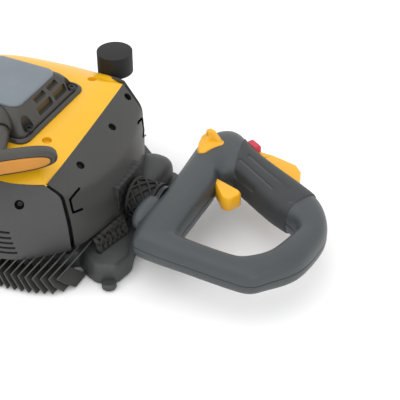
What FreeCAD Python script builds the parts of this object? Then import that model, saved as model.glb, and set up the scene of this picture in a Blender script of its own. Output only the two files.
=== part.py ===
import FreeCAD, Part
import math
import os

# Petrol hedge trimmer with a swivelling rear loop handle. Millimetres, +Z up.
# Origin: foot of the crankshaft axis, on the flat underside of the gearcase.
# -X is forward, along the blade; +X is back, towards the rear handle.

os.makedirs("parts", exist_ok=True)
doc = FreeCAD.newDocument("hedge_trimmer")
V = FreeCAD.Vector
sheet = doc.addObject("Spreadsheet::Sheet", "Dims")

DIMS = [
    # gearcase and base
    ("case_front", -128.0), ("case_rear", 95.0), ("case_half", 60.0), ("case_floor", 4.5),
    ("case_height", 22.0), ("case_wall", 5.0), ("case_cover", 4.0),
    ("skirt_height", 26.0), ("skirt_wall", 5.0), ("shelf_thick", 3.0),
    # blades
    ("blade_low_z", 6.0), ("blade_up_z", 9.0), ("blade_thick", 2.6), ("bar_z", 12.0), ("bar_thick", 4.0),
    ("bar_half", 13.0), ("blade_half", 15.0), ("tooth_reach", 50.0), ("tooth_pitch", 40.0), ("tooth_count", 14.0),
    ("tooth_root", 14.0), ("tooth_tip", 6.0), ("first_tooth", -196.0), ("blade_tip", -745.0), ("stroke_half", 8.0),
    ("bolt_shank", 2.6), ("bolt_head", 5.5),
    # drive
    ("gear_module", 1.75), ("pinion_teeth", 18.0), ("gear_teeth", 36.0), ("gear_width", 6.0), ("gear_z", 14.5),
    ("cam_radius", 9.0), ("shaft_radius", 6.0), ("drum_outer", 30.0), ("drum_inner", 27.0),
    # engine
    ("crank_z", 82.0), ("crankcase_r", 34.0), ("cyl_bore", 17.0), ("cyl_outer", 22.0), ("fin_outer", 28.0),
    ("fan_radius", 46.0), ("fan_z", 112.0),
    # casing
    ("ring_low", 34.0), ("ring_mid", 98.0), ("ring_top", 117.0), ("cover_top", 127.0), ("wall", 3.5),
    ("cap_rise", 28.0), ("panel_thick", 3.0),
    # rear handle
    ("swivel_z", 52.0), ("spigot_r", 14.0), ("collar_r", 24.0), ("run_fit", 0.06), ("half_depth", 21.0),
    ("handle_dx", 106.0), ("handle_dy", -25.0), ("handle_wall", 3.0),
    # starter
    ("grip_length", 112.0), ("grip_z", 137.0), ("rope_line", 24.0), ("rope_r", 1.6), ("pulley_r", 28.0),
    # front handle
    ("front_tube_r", 12.0), ("front_height", 172.0), ("front_half", 112.0),
]
for i, (name, value) in enumerate(DIMS):
    sheet.set("A%d" % (i + 1), name)
    sheet.set("B%d" % (i + 1), str(value))
    sheet.setAlias("B%d" % (i + 1), name)
doc.recompute()


def g(name):
    return float(sheet.get(name))


def bind(obj, **props):
    for prop, val in props.items():
        if isinstance(val, str):
            obj.setExpression(prop, val)
        else:
            setattr(obj, prop, val)


def at(obj, x=0, y=0, z=0, axis=None, angle=0.0):
    """Places obj; a string is an expression on the sheet."""
    rot = FreeCAD.Rotation(V(*axis), angle) if axis else FreeCAD.Rotation()
    nums = [v if not isinstance(v, str) else 0.0 for v in (x, y, z)]
    obj.Placement = FreeCAD.Placement(V(*nums), rot)
    for k, v in (("x", x), ("y", y), ("z", z)):
        if isinstance(v, str):
            obj.setExpression("Placement.Base." + k, v)
    return obj


def box(name, L, W, H, x, y, z, **kw):
    o = doc.addObject("Part::Box", name)
    bind(o, Length=L, Width=W, Height=H)
    return at(o, x, y, z, **kw)


def cyl(name, R, H, x, y, z, axis=None, angle=0.0, sweep=None):
    o = doc.addObject("Part::Cylinder", name)
    bind(o, Radius=R, Height=H)
    if sweep:
        o.Angle = sweep
    return at(o, x, y, z, axis, angle)


def cut(name, base, *tools):
    for t in tools:
        c = doc.addObject("Part::Cut", name)
        c.Base, c.Tool = base, t
        base = c
    return base


def fuse(name, *objs):
    f = doc.addObject("Part::MultiFuse", name)
    f.Shapes = list(objs)
    return f


def group(name, *objs):
    c = doc.addObject("Part::Compound", name)
    c.Links = list(objs)
    return c


def fillet(name, base, radius, pick):
    doc.recompute()
    f = doc.addObject("Part::Fillet", name)
    f.Base = base
    f.Edges = [(i + 1, radius, radius) for i, e in enumerate(base.Shape.Edges) if pick(e)]
    return f


def feature(name, shape):
    o = doc.addObject("Part::Feature", name)
    o.Shape = shape
    return o


X, Y, Z = (1, 0, 0), (0, 1, 0), (0, 0, 1)
NODES = []


def node(obj, label):
    obj.Label = label
    NODES.append(obj)
    return obj


def origin_plane(body, role):
    return [f for f in body.Origin.OriginFeatures if f.Role == role][0]


def sketch(body, role, loops, circles=()):
    s = body.newObject("Sketcher::SketchObject", "Sk")
    s.AttachmentSupport = [(origin_plane(body, role), "")]
    s.MapMode = "FlatFace"
    for pts in loops:
        for a, b in zip(pts, pts[1:] + pts[:1]):
            s.addGeometry(Part.LineSegment(V(a[0], a[1], 0), V(b[0], b[1], 0)), False)
    for cx, cy, r in circles:
        s.addGeometry(Part.Circle(V(cx, cy, 0), V(0, 0, 1), r), False)
    return s


def pad_body(name, loops, length, z=0, circles=(), role="XY_Plane"):
    b = doc.addObject("PartDesign::Body", name)
    s = sketch(b, role, loops, circles)
    p = b.newObject("PartDesign::Pad", "Pad")
    p.Profile = s
    bind(p, Length=length)
    b.Tip = p
    if isinstance(z, str):
        b.setExpression("Placement.Base.z", z)
    else:
        b.Placement = FreeCAD.Placement(V(0, 0, z), FreeCAD.Rotation())
    return b


def mirror_y(pts):
    """Half outline with y<=0, listed from the +X end to the -X end; returns the closed outline."""
    return pts + [(x, -y) for x, y in reversed(pts) if abs(y) > 1e-6]


def offset(pts, d):
    """Moves each side of a counter-clockwise outline inward by d, with mitred corners."""
    n, out = len(pts), []
    for i in range(n):
        (x0, y0), (x1, y1), (x2, y2) = pts[i - 1], pts[i], pts[(i + 1) % n]
        ax, ay, bx, by = x1 - x0, y1 - y0, x2 - x1, y2 - y1
        la, lb = math.hypot(ax, ay), math.hypot(bx, by)
        nax, nay, nbx, nby = -ay / la, ax / la, -by / lb, bx / lb
        k = 1.0 + nax * nbx + nay * nby
        out.append((x1 + d * (nax + nbx) / k, y1 + d * (nay + nby) / k))
    return out


def wire(pts, z):
    return Part.makePolygon([V(x, y, z) for x, y in pts] + [V(pts[0][0], pts[0][1], z)])


def loft(levels):
    return Part.makeLoft([wire(p, z) for p, z in levels], True, True)


# ---------------------------------------------------------------- gearcase
case = box("case_block", "Dims.case_rear - Dims.case_front", "2*Dims.case_half", "Dims.case_height", "Dims.case_front", "-Dims.case_half", 0)
room = box("case_room", "Dims.case_rear - Dims.case_front - 2*Dims.case_wall", "2*(Dims.case_half - Dims.case_wall)", "Dims.case_height", "Dims.case_front + Dims.case_wall", "-Dims.case_half + Dims.case_wall", "Dims.case_floor")
mouth = box("case_mouth", 20, "2*Dims.blade_half + 3", "Dims.case_height", "Dims.case_front - 5", "-Dims.blade_half - 1.5", "Dims.case_floor")
case_cut = cut("case_hollow", case, room, mouth)
node(fillet("case_round", case_cut, 10.0, lambda e: abs(e.BoundBox.ZLength - g("case_height")) < 1e-3 and abs(abs(e.BoundBox.YMin) - g("case_half")) < 1e-3), "gearcase")

# cover plate over the gear room, with the pinion's bore
cover = box("cover_plate", "Dims.case_rear - Dims.case_front - 4", "2*Dims.case_half - 4", "Dims.case_cover", "Dims.case_front + 2", "-Dims.case_half + 2", "Dims.case_height")
cover_bore = cyl("cover_bore", 8.0, 20, 0, 0, "Dims.case_height - 5")
cover_cut = cut("cover_cut", cover, cover_bore)
node(cover_cut, "gearcase_cover")
bear = cut("bear_cut", cyl("bear_o", 8.0, "Dims.case_cover", 0, 0, "Dims.case_height"), cyl("bear_i", "Dims.shaft_radius + Dims.run_fit", 20, 0, 0, 15))
node(bear, "drive_bearing")

# ---------------------------------------------------------------- gears
def gear_outline(m, n, phase, backlash=0.22, pa=20.0):
    """Involute teeth; phase turns the first tooth's centre from +X."""
    rp = m * n / 2.0
    rb = rp * math.cos(math.radians(pa))
    ra, rf = rp + 0.95 * m, rp - 1.2 * m
    inv = lambda a: math.tan(a) - a
    half = math.pi / (2 * n) - backlash / (2 * rp) + inv(math.radians(pa))
    pts = []
    for k in range(n):
        c = phase + 2 * math.pi * k / n
        radii = [max(rb, rf) + (ra - max(rb, rf)) * j / 4.0 for j in range(5)]
        flank = []
        for r in radii:
            a = math.acos(min(1.0, rb / r))
            flank.append((r, half - inv(a)))
        low = [(rf, flank[0][1])] if rf < rb else []
        side = low + flank
        for r, t in side:
            pts.append((r * math.cos(c - t), r * math.sin(c - t)))
        for r, t in reversed(side):
            pts.append((r * math.cos(c + t), r * math.sin(c + t)))
    return pts


m_ = g("gear_module")
n1, n2 = int(g("pinion_teeth")), int(g("gear_teeth"))
centre = m_ * (n1 + n2) / 2.0
gear_x = -centre

pin_gear = pad_body("pinion_teeth_pad", [gear_outline(m_, n1, math.pi)], "Dims.gear_width", "Dims.gear_z")
pin_shaft = cyl("pinion_shaft", "Dims.shaft_radius", 24.4, 0, 0, "Dims.gear_z + Dims.gear_width - 1")
pin_all = fuse("pinion_solid", pin_gear, pin_shaft)
node(pin_all, "drive_pinion")

# tooth of the wheel faces the pinion's gap
phase2 = math.pi / n2
wheel_teeth = pad_body("wheel_teeth_pad", [gear_outline(m_, n2, phase2)], "Dims.gear_width", "Dims.gear_z")
at(wheel_teeth, gear_x, 0, "Dims.gear_z")
wheel_bore = cyl("wheel_bore", "Dims.shaft_radius - 0.0", 30, gear_x, 0, 5)
node(cut("wheel_solid", wheel_teeth, wheel_bore), "reduction_gear")

# two eccentric discs on the wheel's shaft, thrown opposite ways
cam_up = cyl("cam_up", "Dims.cam_radius", "Dims.blade_thick", "%f + Dims.stroke_half" % gear_x, 0, "Dims.blade_up_z + 0.1")
cam_low = cyl("cam_low", "Dims.cam_radius", "Dims.blade_thick", "%f - Dims.stroke_half" % gear_x, 0, "Dims.blade_low_z + 0.1")
cam_shaft = cyl("cam_shaft", "Dims.shaft_radius", "Dims.case_height - 0.5 - Dims.blade_low_z", gear_x, 0, "Dims.blade_low_z")
node(fuse("cam_solid", cam_up, cam_low, cam_shaft), "blade_cams")

# ---------------------------------------------------------------- blades
def blade_outline():
    """Spine with teeth on both edges; the tail is a wide plate for the cam window."""
    half, reach = g("blade_half"), g("tooth_reach")
    root, tip, pitch = g("tooth_root") / 2, g("tooth_tip") / 2, g("tooth_pitch")
    n = int(g("tooth_count"))
    low = [(-6.0, -26.0), (-90.0, -26.0), (-100.0, -half)]
    for i in range(n):
        x = g("first_tooth") - pitch * i
        low += [(x + root, -half), (x + tip, -reach), (x - tip, -reach), (x - root, -half)]
    end = g("blade_tip")
    low += [(end + 8, -half), (end, -half + 8)]
    up = [(x, -y) for x, y in reversed(low)]
    return low + up


bolt_xs = [-176.0 - 108.0 * i for i in range(6)]


def blade(name, zkey):
    b = pad_body(name + "_pad", [list(reversed(blade_outline()))], "Dims.blade_thick", "Dims." + zkey)
    doc.recompute()
    tools = [box(name + "_window", "2*Dims.cam_radius + 4*Dims.stroke_half + 3", 38, 12, "%f - Dims.cam_radius - 2*Dims.stroke_half - 1.5" % gear_x, -19, 2)]
    for bx in bolt_xs:
        tools.append(box(name + "_slot", "2*Dims.bolt_shank + 2*Dims.stroke_half + 2", "2*Dims.bolt_shank + 0.8", 12, "%f - Dims.bolt_shank - Dims.stroke_half - 1" % bx, "-Dims.bolt_shank - 0.4", 2))
    return cut(name + "_cut", b, fuse(name + "_tools", *tools))


node(blade("blade_upper", "blade_up_z"), "blade_upper")
node(blade("blade_lower", "blade_low_z"), "blade_lower")

bar = box("bar_block", "-118 - Dims.blade_tip", "2*Dims.bar_half", "Dims.bar_thick", "Dims.blade_tip", "-Dims.bar_half", "Dims.bar_z")
bar_holes = fuse("bar_holes", *[cyl("bar_hole", "Dims.bolt_shank + 0.2", 20, bx, 0, 4) for bx in bolt_xs])
bar_cut = cut("bar_cut", bar, bar_holes)
node(bar_cut, "guide_bar")

bolts = []
for bx in bolt_xs:
    shank = cyl("bolt_shank_c", "Dims.bolt_shank", "Dims.bar_z + Dims.bar_thick + 0.5 - 3", bx, 0, 3)
    head = cyl("bolt_head_c", "Dims.bolt_head", 4, bx, 0, "Dims.bar_z + Dims.bar_thick")
    nut = cyl("bolt_nut_c", "Dims.bolt_head", 3.2, bx, 0, 2.4)
    bolts.append(fuse("bolt", shank, head, nut))
node(group("bolt_set", *bolts), "blade_bolts")

# blunt tip guard beyond the blades' travel
tip = box("tip_block", 26, 44, 14, "Dims.blade_tip - 34.5", -22, 4)
tip_neck = box("tip_neck", 34, "2*Dims.bar_half", 4, "Dims.blade_tip - 20", "-Dims.bar_half", "Dims.bar_z + Dims.bar_thick")
tip_all = fuse("tip_solid", tip, tip_neck)
node(fillet("tip_round", tip_all, 5.0, lambda e: e.BoundBox.ZLength > 13.9 and e.BoundBox.XMin < g("blade_tip") - 33), "tip_guard")

# ---------------------------------------------------------------- base skirt
P_BASE = [(166, -38), (158, -78), (148, -96), (112, -128), (60, -138), (-50, -136), (-92, -112), (-106, -78), (-106, -60)]
skirt_out = P_BASE + [(95, -60), (95, 60)] + [(x, -y) for x, y in reversed(P_BASE)]
skirt_low = pad_body("skirt_low", [list(reversed(skirt_out))], "Dims.skirt_height", 0)
near_room = [(154, -40), (147, -73), (139, -88), (108, -117), (58, -126), (-48, -124), (-82, -105), (-95, -76), (-95, -66), (101, -66), (101, -38)]
room_a = pad_body("skirt_room_a", [list(reversed(near_room))], "Dims.skirt_height", "0 - Dims.shelf_thick")
room_b = pad_body("skirt_room_b", [[(x, -y) for x, y in near_room]], "Dims.skirt_height", "0 - Dims.shelf_thick")
skirt = cut("skirt_hollow", skirt_low, room_a, room_b)
skirt_r = fillet("skirt_round", skirt, 6.0, lambda e: abs(e.BoundBox.ZMin - g("skirt_height")) < 1e-3 and abs(e.BoundBox.ZMax - g("skirt_height")) < 1e-3 and e.BoundBox.XMin > -107 and (abs(e.CenterOfMass.y) > 61 or e.CenterOfMass.x > 150))

# rounded hanging tabs at the skirt's rear corners
tabs = []
for sy in (-1, 1):
    tabs.append(cyl("tab", 8.0, 6.0, 158, sy * 98.0, 2))
    tabs.append(box("tab_web", 16, 18, 6.0, 142, -98 if sy < 0 else 80, 2))
node(fuse("skirt_with_tabs", skirt_r, *tabs), "base_skirt")

# comb of cooling fins along each side, between the skirt's shelf and the cowl
def skirt_edge(x):
    """Half width of the skirt at x."""
    for (xa, ya), (xb, yb) in zip(P_BASE, P_BASE[1:]):
        if xb <= x <= xa:
            return -(yb + (ya - yb) * (x - xb) / (xa - xb))
    return 138.0


def fins(name, sy):
    parts = []
    for i in range(13):
        x = -50.0 + 12.6 * i
        e = max(skirt_edge(x), skirt_edge(x + 3.2)) + 0.2
        prof = [(e, 6.0), (e + 6.5, 6.0), (e + 7.5, 12.0), (e + 1.0, 33.0), (107.5, 33.0), (107.5, 26.0), (e, 26.0)]
        pts = [V(x, sy * y, z) for y, z in prof]
        parts.append(Part.Face(Part.makePolygon(pts + [pts[0]])).extrude(V(3.2, 0, 0)))
    back = Part.makeBox(154.4, 2.5, 7.0, V(-50.0, 107.5 if sy > 0 else -110.0, 26.0))
    return feature(name, back.multiFuse(parts).removeSplitter())


node(fins("fins_l", -1), "fin_guard_left")
node(fins("fins_r", 1), "fin_guard_right")

# ---------------------------------------------------------------- casing ring
def ring_wire(z, xr, xc, yc, ys, xf, yf, xff, inset=0.0):
    xr, xc, yc, ys, xf, yf, xff = xr - inset, xc - inset, yc - inset, ys - inset, xf - inset, yf - inset, xff - inset
    a = Part.Arc(V(xc, -yc, z), V(xr, 0, z), V(xc, yc, z)).toShape()
    b = Part.Arc(V(xc, yc, z), V(0, ys, z), V(-xf, yf, z)).toShape()
    c = Part.Arc(V(-xf, yf, z), V(-xff, 0, z), V(-xf, -yf, z)).toShape()
    d = Part.Arc(V(-xf, -yf, z), V(0, -ys, z), V(xc, -yc, z)).toShape()
    return Part.Wire([a, b, c, d])


LOW = (145, 121, 90, 130, 112, 82, 124)
MID = (131, 113, 94, 122, 108, 84, 120)
DECK = (145, 121, 90, 104, 112, 82, 124)
TOP = (108, 100, 89, 104, 100, 78, 110)
CROWN = (94, 86, 76, 92, 88, 66, 98)
zl, zm, zt, zc = g("ring_low"), g("ring_mid"), g("ring_top"), g("cover_top")
outer = Part.makeLoft([ring_wire(zl, *LOW), ring_wire(zm, *MID), ring_wire(zt, *TOP)], True, True)
w = g("wall")
inner = Part.makeLoft([ring_wire(zl - 1, *LOW, inset=w), ring_wire(zm, *MID, inset=w), ring_wire(zt + 1, *TOP, inset=w)], True, True)
ring = outer.cut(inner)


def slab(x0, x1, y0, y1):
    return Part.makeBox(x1 - x0, y1 - y0, 400.0, V(x0, y0, -50.0))


# arch over the swivel, at the foot of the rear cowl
arch = Part.makeBox(80.0, 62.0, 50.0, V(90.0, -31.0, 30.0)).fuse(Part.makeCylinder(31.0, 80.0, V(90.0, 0, 62.0), V(1, 0, 0)))
rear = ring.common(slab(108.5, 200, -200, 200)).cut(arch)
bosses = [(112.0, -50.0), (113.0, 26.0), (109.5, 70.0)]
side_l = ring.common(slab(-98, 107.5, -200, 0))
side_r = ring.common(slab(-98, 107.5, 0, 200))
front = ring.common(slab(-200, -99, -200, 200))
top_strip = ring.common(slab(99.0, 108.0, -200, 200))

screw_dirs = [(118.0, -50.0, 104.0), (119.5, 26.0, 104.0), (115.0, 72.0, 104.0)]
screw_holes = []
for sx, sy_, sz in screw_dirs:
    screw_holes.append(Part.makeCylinder(3.2, 30.0, V(sx - 14, sy_, sz - 6), V(0.8, 0, 0.6)))
rear_cut = rear
for h in screw_holes:
    rear_cut = rear_cut.cut(h)
node(feature("rear_cowl_shape", rear_cut), "rear_cowl")
side_hole = Part.makeCylinder(3.2, 30.0, V(78, -95, 106), V(0, -0.8, 0.6))
side_hole_r = Part.makeCylinder(3.2, 30.0, V(78, 95, 106), V(0, 0.8, 0.6))
node(feature("side_l_shape", side_l.cut(side_hole)), "side_cowl_left")
filler_seat = Part.makeCone(5.0, 16.0, 44.0, V(57, 125, 68), V(0, 0, 1))
node(feature("side_r_shape", side_r.cut(side_hole_r).fuse(filler_seat)), "side_cowl_right")
node(feature("front_shape", front), "front_cowl")

# yellow top cover: crowned plate with a turned-down hollow, open round the starter
crown = Part.makeLoft([ring_wire(zt + 0.0, *TOP), ring_wire(zc, *CROWN)], True, True)
hollow = Part.makeLoft([ring_wire(zt - 1.0, *TOP, inset=w), ring_wire(zc - 4.0, *CROWN, inset=w)], True, True)
cap_hole = Part.makeBox(118.0, 122.0, 60.0, V(-61.0, -61.0, zt - 20.0))
node(feature("top_cover_shape", crown.cut(hollow).cut(cap_hole)), "top_cover")

# ---------------------------------------------------------------- starter cover
def round_rect(x0, x1, y0, y1, c):
    return [(x1, y0 + c), (x1, y1 - c), (x1 - c, y1), (x0 + c, y1), (x0, y1 - c), (x0, y0 + c), (x0 + c, y0), (x1 - c, y0)]


zb = zc - 6.0
zp = zc + g("cap_rise")
cap_out = loft([(round_rect(-60.5, 56.5, -60.5, 60.5, 16), zb), (round_rect(-60.5, 56.5, -60.5, 60.5, 16), zc + 4), (round_rect(-44, 38, -44, 44, 14), zp)])
cap_in = loft([(round_rect(-57.5, 53.5, -57.5, 57.5, 15), zb - 1), (round_rect(-57.5, 53.5, -57.5, 57.5, 15), zc + 3), (round_rect(-42, 36, -42, 42, 13), zp - 3)])
cap_s = cap_out.cut(cap_in)
for (y0, y1) in ((-28, -8), (-4, 16), (20, 38)):
    for (x0, zz) in ((40.0, zp - 9.0), (47.0, zp - 19.0)):
        cap_s = cap_s.cut(Part.makeBox(30.0, y1 - y0, 6.0, V(x0 - 12, y0, zz)))
ux, uy = 0.65, -0.76
ul = math.hypot(ux, uy)
ux, uy = ux / ul, uy / ul
boot_dir = V(ux, uy, 0)
rope_off = g("rope_line")
line_foot = V(uy * rope_off, -ux * rope_off, g("grip_z") + 2.0)
boot_a = line_foot + boot_dir * 36.0
cap_s = cap_s.cut(Part.makeCylinder(12.2, 60.0, boot_a, boot_dir))
screw_pts = [(44.0, -46.0), (44.0, 46.0), (-48.0, 46.0), (-48.0, -46.0)]
for sx, sy_ in screw_pts:
    cap_s = cap_s.cut(Part.makeCylinder(4.8, 60.0, V(sx, sy_, zb), V(0, 0, 1)))
post = Part.makeCylinder(4.9, zp - 3.0 - (zc + 2.5), V(0, 0, zc + 2.5))
node(feature("starter_cover_shape", cap_s.fuse(post).removeSplitter()), "starter_cover")

panel = loft([(round_rect(-41, 35, -40, 40, 12), zp), (round_rect(-39, 33, -38, 38, 11), zp + g("panel_thick"))])
node(feature("panel_shape", panel), "cover_panel")

caps = []
for sx, sy_ in screw_pts:
    sh = cyl("cap_screw_shank", 2.2, 16, sx, sy_, "Dims.cover_top - 4")
    hd = cyl("cap_screw_head", 4.6, 4, sx, sy_, "Dims.cover_top + 12")
    caps.append(fuse("cap_screw", sh, hd))
# rope guide boot
guide = Part.makeCylinder(11.5, 27.0, boot_a, boot_dir).cut(Part.makeCylinder(3.0, 60.0, boot_a - boot_dir * 5, boot_dir))
node(feature("rope_guide_shape", guide), "rope_guide")

# ---------------------------------------------------------------- starter grip
gc = boot_a + boot_dir * 89.0
along = V(-uy, ux, 0)
gl = g("grip_length")
stem = Part.makeCylinder(7.0, 56.0, boot_a + boot_dir * 27.6, boot_dir)


def grip_face(r_out, half, back, z0, z1, dz=0.0):
    pts = []
    front_pts = [(-half, 2.0), (-half * 0.8, 9.5), (-half * 0.4, 13.0), (0, 14.0), (half * 0.4, 13.0), (half * 0.8, 9.5), (half, 2.0)]
    rear_pts = [(half, -6.0), (half * 0.6, -7.0), (-half * 0.6, -7.0), (-half, -6.0)]
    return [(a, b + back) for a, b in front_pts + rear_pts]


def local(pts, z):
    return Part.makePolygon([gc + along * a + boot_dir * b + V(0, 0, z) for a, b in pts + pts[:1]])


gp = grip_face(0, gl / 2, 0.0, 0, 0)
cx = sum(a for a, b in gp) / len(gp)


def shrink(pts, k):
    return [(a * k, 3.0 + (b - 3.0) * k) for a, b in pts]


grip_s = Part.makeLoft([local(shrink(gp, 0.88), -11.5), local(gp, -6.5), local(gp, 6.5), local(shrink(gp, 0.88), 11.5)], True, True)
ins_o = [(-gl * 0.43, 8.6), (-gl * 0.2, 13.2), (0, 14.2), (gl * 0.2, 13.2), (gl * 0.43, 8.6)]
ins_pts = [(a, b - 5.0) for a, b in ins_o] + [(a, b + 1.0) for a, b in reversed(ins_o)]
ins_s = Part.makeLoft([local(ins_pts, -7.5), local(ins_pts, 7.5)], True, True)
node(feature("grip_shape", grip_s.cut(ins_s).fuse(stem.cut(ins_s))), "starter_grip")
node(feature("insert_shape", ins_s), "grip_insert")
rope = Part.makeCylinder(g("rope_r"), 61.0, boot_a - boot_dir * 34.0, boot_dir)
node(feature("rope_shape", rope), "starter_rope")

# ---------------------------------------------------------------- engine, inside the casing
cz = "Dims.crank_z"
cc = cyl("cc_out", "Dims.crankcase_r", 50, 0, 0, "Dims.crank_z - 25")
cc_in = cyl("cc_in", "Dims.crankcase_r - 5", 42, 0, 0, "Dims.crank_z - 21")
cc_bore = cyl("cc_bore", "Dims.shaft_radius + 0.05", 70, 0, 0, "Dims.crank_z - 35")
cc_side = cyl("cc_side", "Dims.cyl_bore + 0.05", 60, 0, 0, cz, axis=Y, angle=-90)
node(cut("cc_solid", cc, fuse("cc_tools", cc_in, cc_bore, cc_side)), "crankcase")

cy_t = cyl("cyl_tube", "Dims.cyl_outer", 66, -34.5, 0, cz, axis=Y, angle=-90)
cy_f = [cyl("cyl_fin", "Dims.fin_outer", 2.2, -44.0 - 7 * i, 0, cz, axis=Y, angle=-90) for i in range(7)]
cy_b = cyl("cyl_bore_c", "Dims.cyl_bore + 0.05", 60, -30, 0, cz, axis=Y, angle=-90)
cy_p = cyl("cyl_plug_c", 5.0, 40, -80, 0, cz, axis=Y, angle=-90)
cy_flat = box("cyl_flat", 90, 90, 40, -120, -45, "Dims.crank_z - 40 - Dims.cyl_outer - 4")
cy_trim = cyl("cyl_trim", "Dims.crankcase_r + 0.02", 50, 0, 0, "Dims.crank_z - 25")
node(cut("cyl_solid", fuse("cyl_fused", cy_t, *cy_f), fuse("cyl_tools", cy_b, cy_p, cy_flat, cy_trim)), "cylinder")

pi_o = cyl("pis_out", "Dims.cyl_bore", 20, -50, 0, cz, axis=Y, angle=-90)
pi_i = cyl("pis_in", "Dims.cyl_bore - 3", 14, -48, 0, cz, axis=Y, angle=-90)
node(cut("pis_solid", pi_o, pi_i), "piston")
rod = box("rod_beam", 22, 6, 6, -61.95, -3, "Dims.crank_z - 3")
node(rod, "connecting_rod")

cr_s = cyl("crank_shaft_c", "Dims.shaft_radius", 80.5, 0, 0, 47)
cr_w = cyl("crank_web", 15, 22, 0, 0, "Dims.crank_z - 11")
node(fuse("crank_solid", cr_s, cr_w), "crankshaft")
hub_c = cyl("clutch_hub_c", 14, 8, 0, 0, 46)
cs = []
for k in range(3):
    c = box("shoe", 12, 12, 8, 0, 0, 0)
    a = math.radians(120 * k)
    at(c, 12 * math.cos(a) + 6 * math.sin(a), 12 * math.sin(a) - 6 * math.cos(a), 46.5, Z, 120 * k)
    cs.append(c)
shoes_f = fuse("shoes_f", hub_c, *cs)
shoes_cut = cut("shoes_cut", shoes_f, cyl("shoe_bore", "Dims.shaft_radius", 20, 0, 0, 44))
node(shoes_cut, "clutch_shoes")
dr_o = cyl("drum_o", "Dims.drum_outer", 14, 0, 0, 41)
dr_i = cyl("drum_i", "Dims.drum_inner", 20, 0, 0, 44)
dr_b = cyl("drum_b", "Dims.shaft_radius", 20, 0, 0, 35)
node(cut("drum_solid", dr_o, dr_i, dr_b), "clutch_drum")

fan_b = cyl("fan_disc", "Dims.fan_radius", 4, 0, 0, "Dims.fan_z")
blades_f = []
for k in range(10):
    a = 36.0 * k
    f = box("fan_blade", 24, 2.5, 9, 0, 0, 0)
    at(f, 20 * math.cos(math.radians(a)), 20 * math.sin(math.radians(a)), "Dims.fan_z + 3", Z, a)
    blades_f.append(f)
node(cut("fan_solid", fuse("fan_f", fan_b, *blades_f), cyl("fan_bore", "Dims.shaft_radius", 40, 0, 0, 100)), "flywheel_fan")

pul = cyl("pulley_o", "Dims.pulley_r", 10, 0, 0, 134)
pul_b = cyl("pulley_b", "4.9 + Dims.run_fit", 30, 0, 0, 124)
pg_o = cyl("groove_o", 40, 3.6, 0, 0, 137.2)
pg_i = cyl("groove_i", "Dims.pulley_r - 6", 3.6, 0, 0, 137.2)
node(cut("pulley_s", pul, pul_b, cut("groove_t", pg_o, pg_i)), "starter_pulley")
sp_o = cyl("spring_o", 24, 5, 0, 0, 145)
sp_i = cyl("spring_i", 7, 12, 0, 0, 140)
node(cut("spring_solid", sp_o, sp_i), "recoil_spring")

node(fuse("plug_solid", cyl("plug_body", 4.9, 22, -90, 0, cz, axis=Y, angle=-90), cyl("plug_hex", 8, 8, -101, 0, cz, axis=Y, angle=-90)), "spark_plug")
node(fillet("muf_r", box("muf", 74, 34, 50, -76, 54, 42), 5.0, lambda e: True), "muffler")
node(fillet("carb_r", box("carb", 34, 40, 34, -62, -73.5, 62), 3.0, lambda e: True), "carburettor")
node(fillet("filt_r", box("filt", 60, 16, 44, -76, -90, 56), 4.0, lambda e: True), "air_filter")
tank_b = fillet("tank_f", box("tank_b", 60, 36, 56, 42, 50, 34), 6.0, lambda e: True)
tank_neck = cyl("tank_neck", 12.0, 12, 72, 85, 76, axis=X, angle=-90)
node(fuse("tank_all", tank_b, tank_neck), "fuel_tank")
node(fillet("coil_r", box("coil", 26, 18, 18, 56, -54, 84), 2.0, lambda e: True), "ignition_coil")
# deck plate that carries the engine and the cowls on the gearcase
deck = Part.Face(ring_wire(26.0, *DECK, inset=4.0)).extrude(V(0, 0, 7.0))
deck = deck.cut(Part.makeCylinder(32.0, 20.0, V(0, 0, 20.0))).cut(Part.makeBox(60.0, 54.0, 30.0, V(103.0, -27.0, 20.0)))
deck = deck.cut(Part.makeBox(34.2, 80.0, 20.0, V(-130.0, -139.9, 20.0))).cut(Part.makeBox(34.2, 80.0, 20.0, V(-130.0, 59.9, 20.0))).cut(Part.makeBox(18.1, 130.0, 20.0, V(-130.0, -65.0, 20.0)))
node(feature("deck_shape", deck), "engine_deck")

# ---------------------------------------------------------------- swivel mount on the chassis
sw = "Dims.swivel_z"
mount = box("mount_block", 40, 52, 50, 104, -26, "Dims.swivel_z - 24")
spig = cyl("spigot", "Dims.spigot_r", 41, 143, 0, sw, axis=Y, angle=90)
mount_f = fuse("mount_f", mount, spig)
bore_m = cyl("spigot_bore", 7.0, 90, 100, 0, sw, axis=Y, angle=90)
node(cut("mount_cut", mount_f, bore_m), "swivel_mount")
nut_o = cyl("nut_o", 20.0, 5.0, 178.5, 0, sw, axis=Y, angle=90)
nut_b = cyl("nut_b", "Dims.spigot_r", 20, 172, 0, sw, axis=Y, angle=90)
node(cut("nut_cut", nut_o, nut_b), "swivel_nut")

# perforated vent panels each side of the swivel
def vent(sy):
    lo = [V(156, sy * 29, 26.2), V(146, sy * 72, 26.2), V(142, sy * 72, 26.2), V(152, sy * 29, 26.2)]
    hi = [V(151, sy * 29, 48), V(139, sy * 68, 40), V(135, sy * 68, 40), V(147, sy * 29, 48)]
    return Part.makeLoft([Part.makePolygon(lo + [lo[0]]), Part.makePolygon(hi + [hi[0]])], True, True)


vents = []
for sy in (-1, 1):
    v_ = vent(sy)
    for i in range(5):
        for j in range(2):
            v_ = v_.cut(Part.makeCylinder(1.8, 60, V(120, sy * (36 + 7 * i), 31 + 6.5 * j), V(1, 0, 0)))
    vents.append(v_)
node(feature("vent_pair", Part.makeCompound(vents)), "vent_panels")

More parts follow.
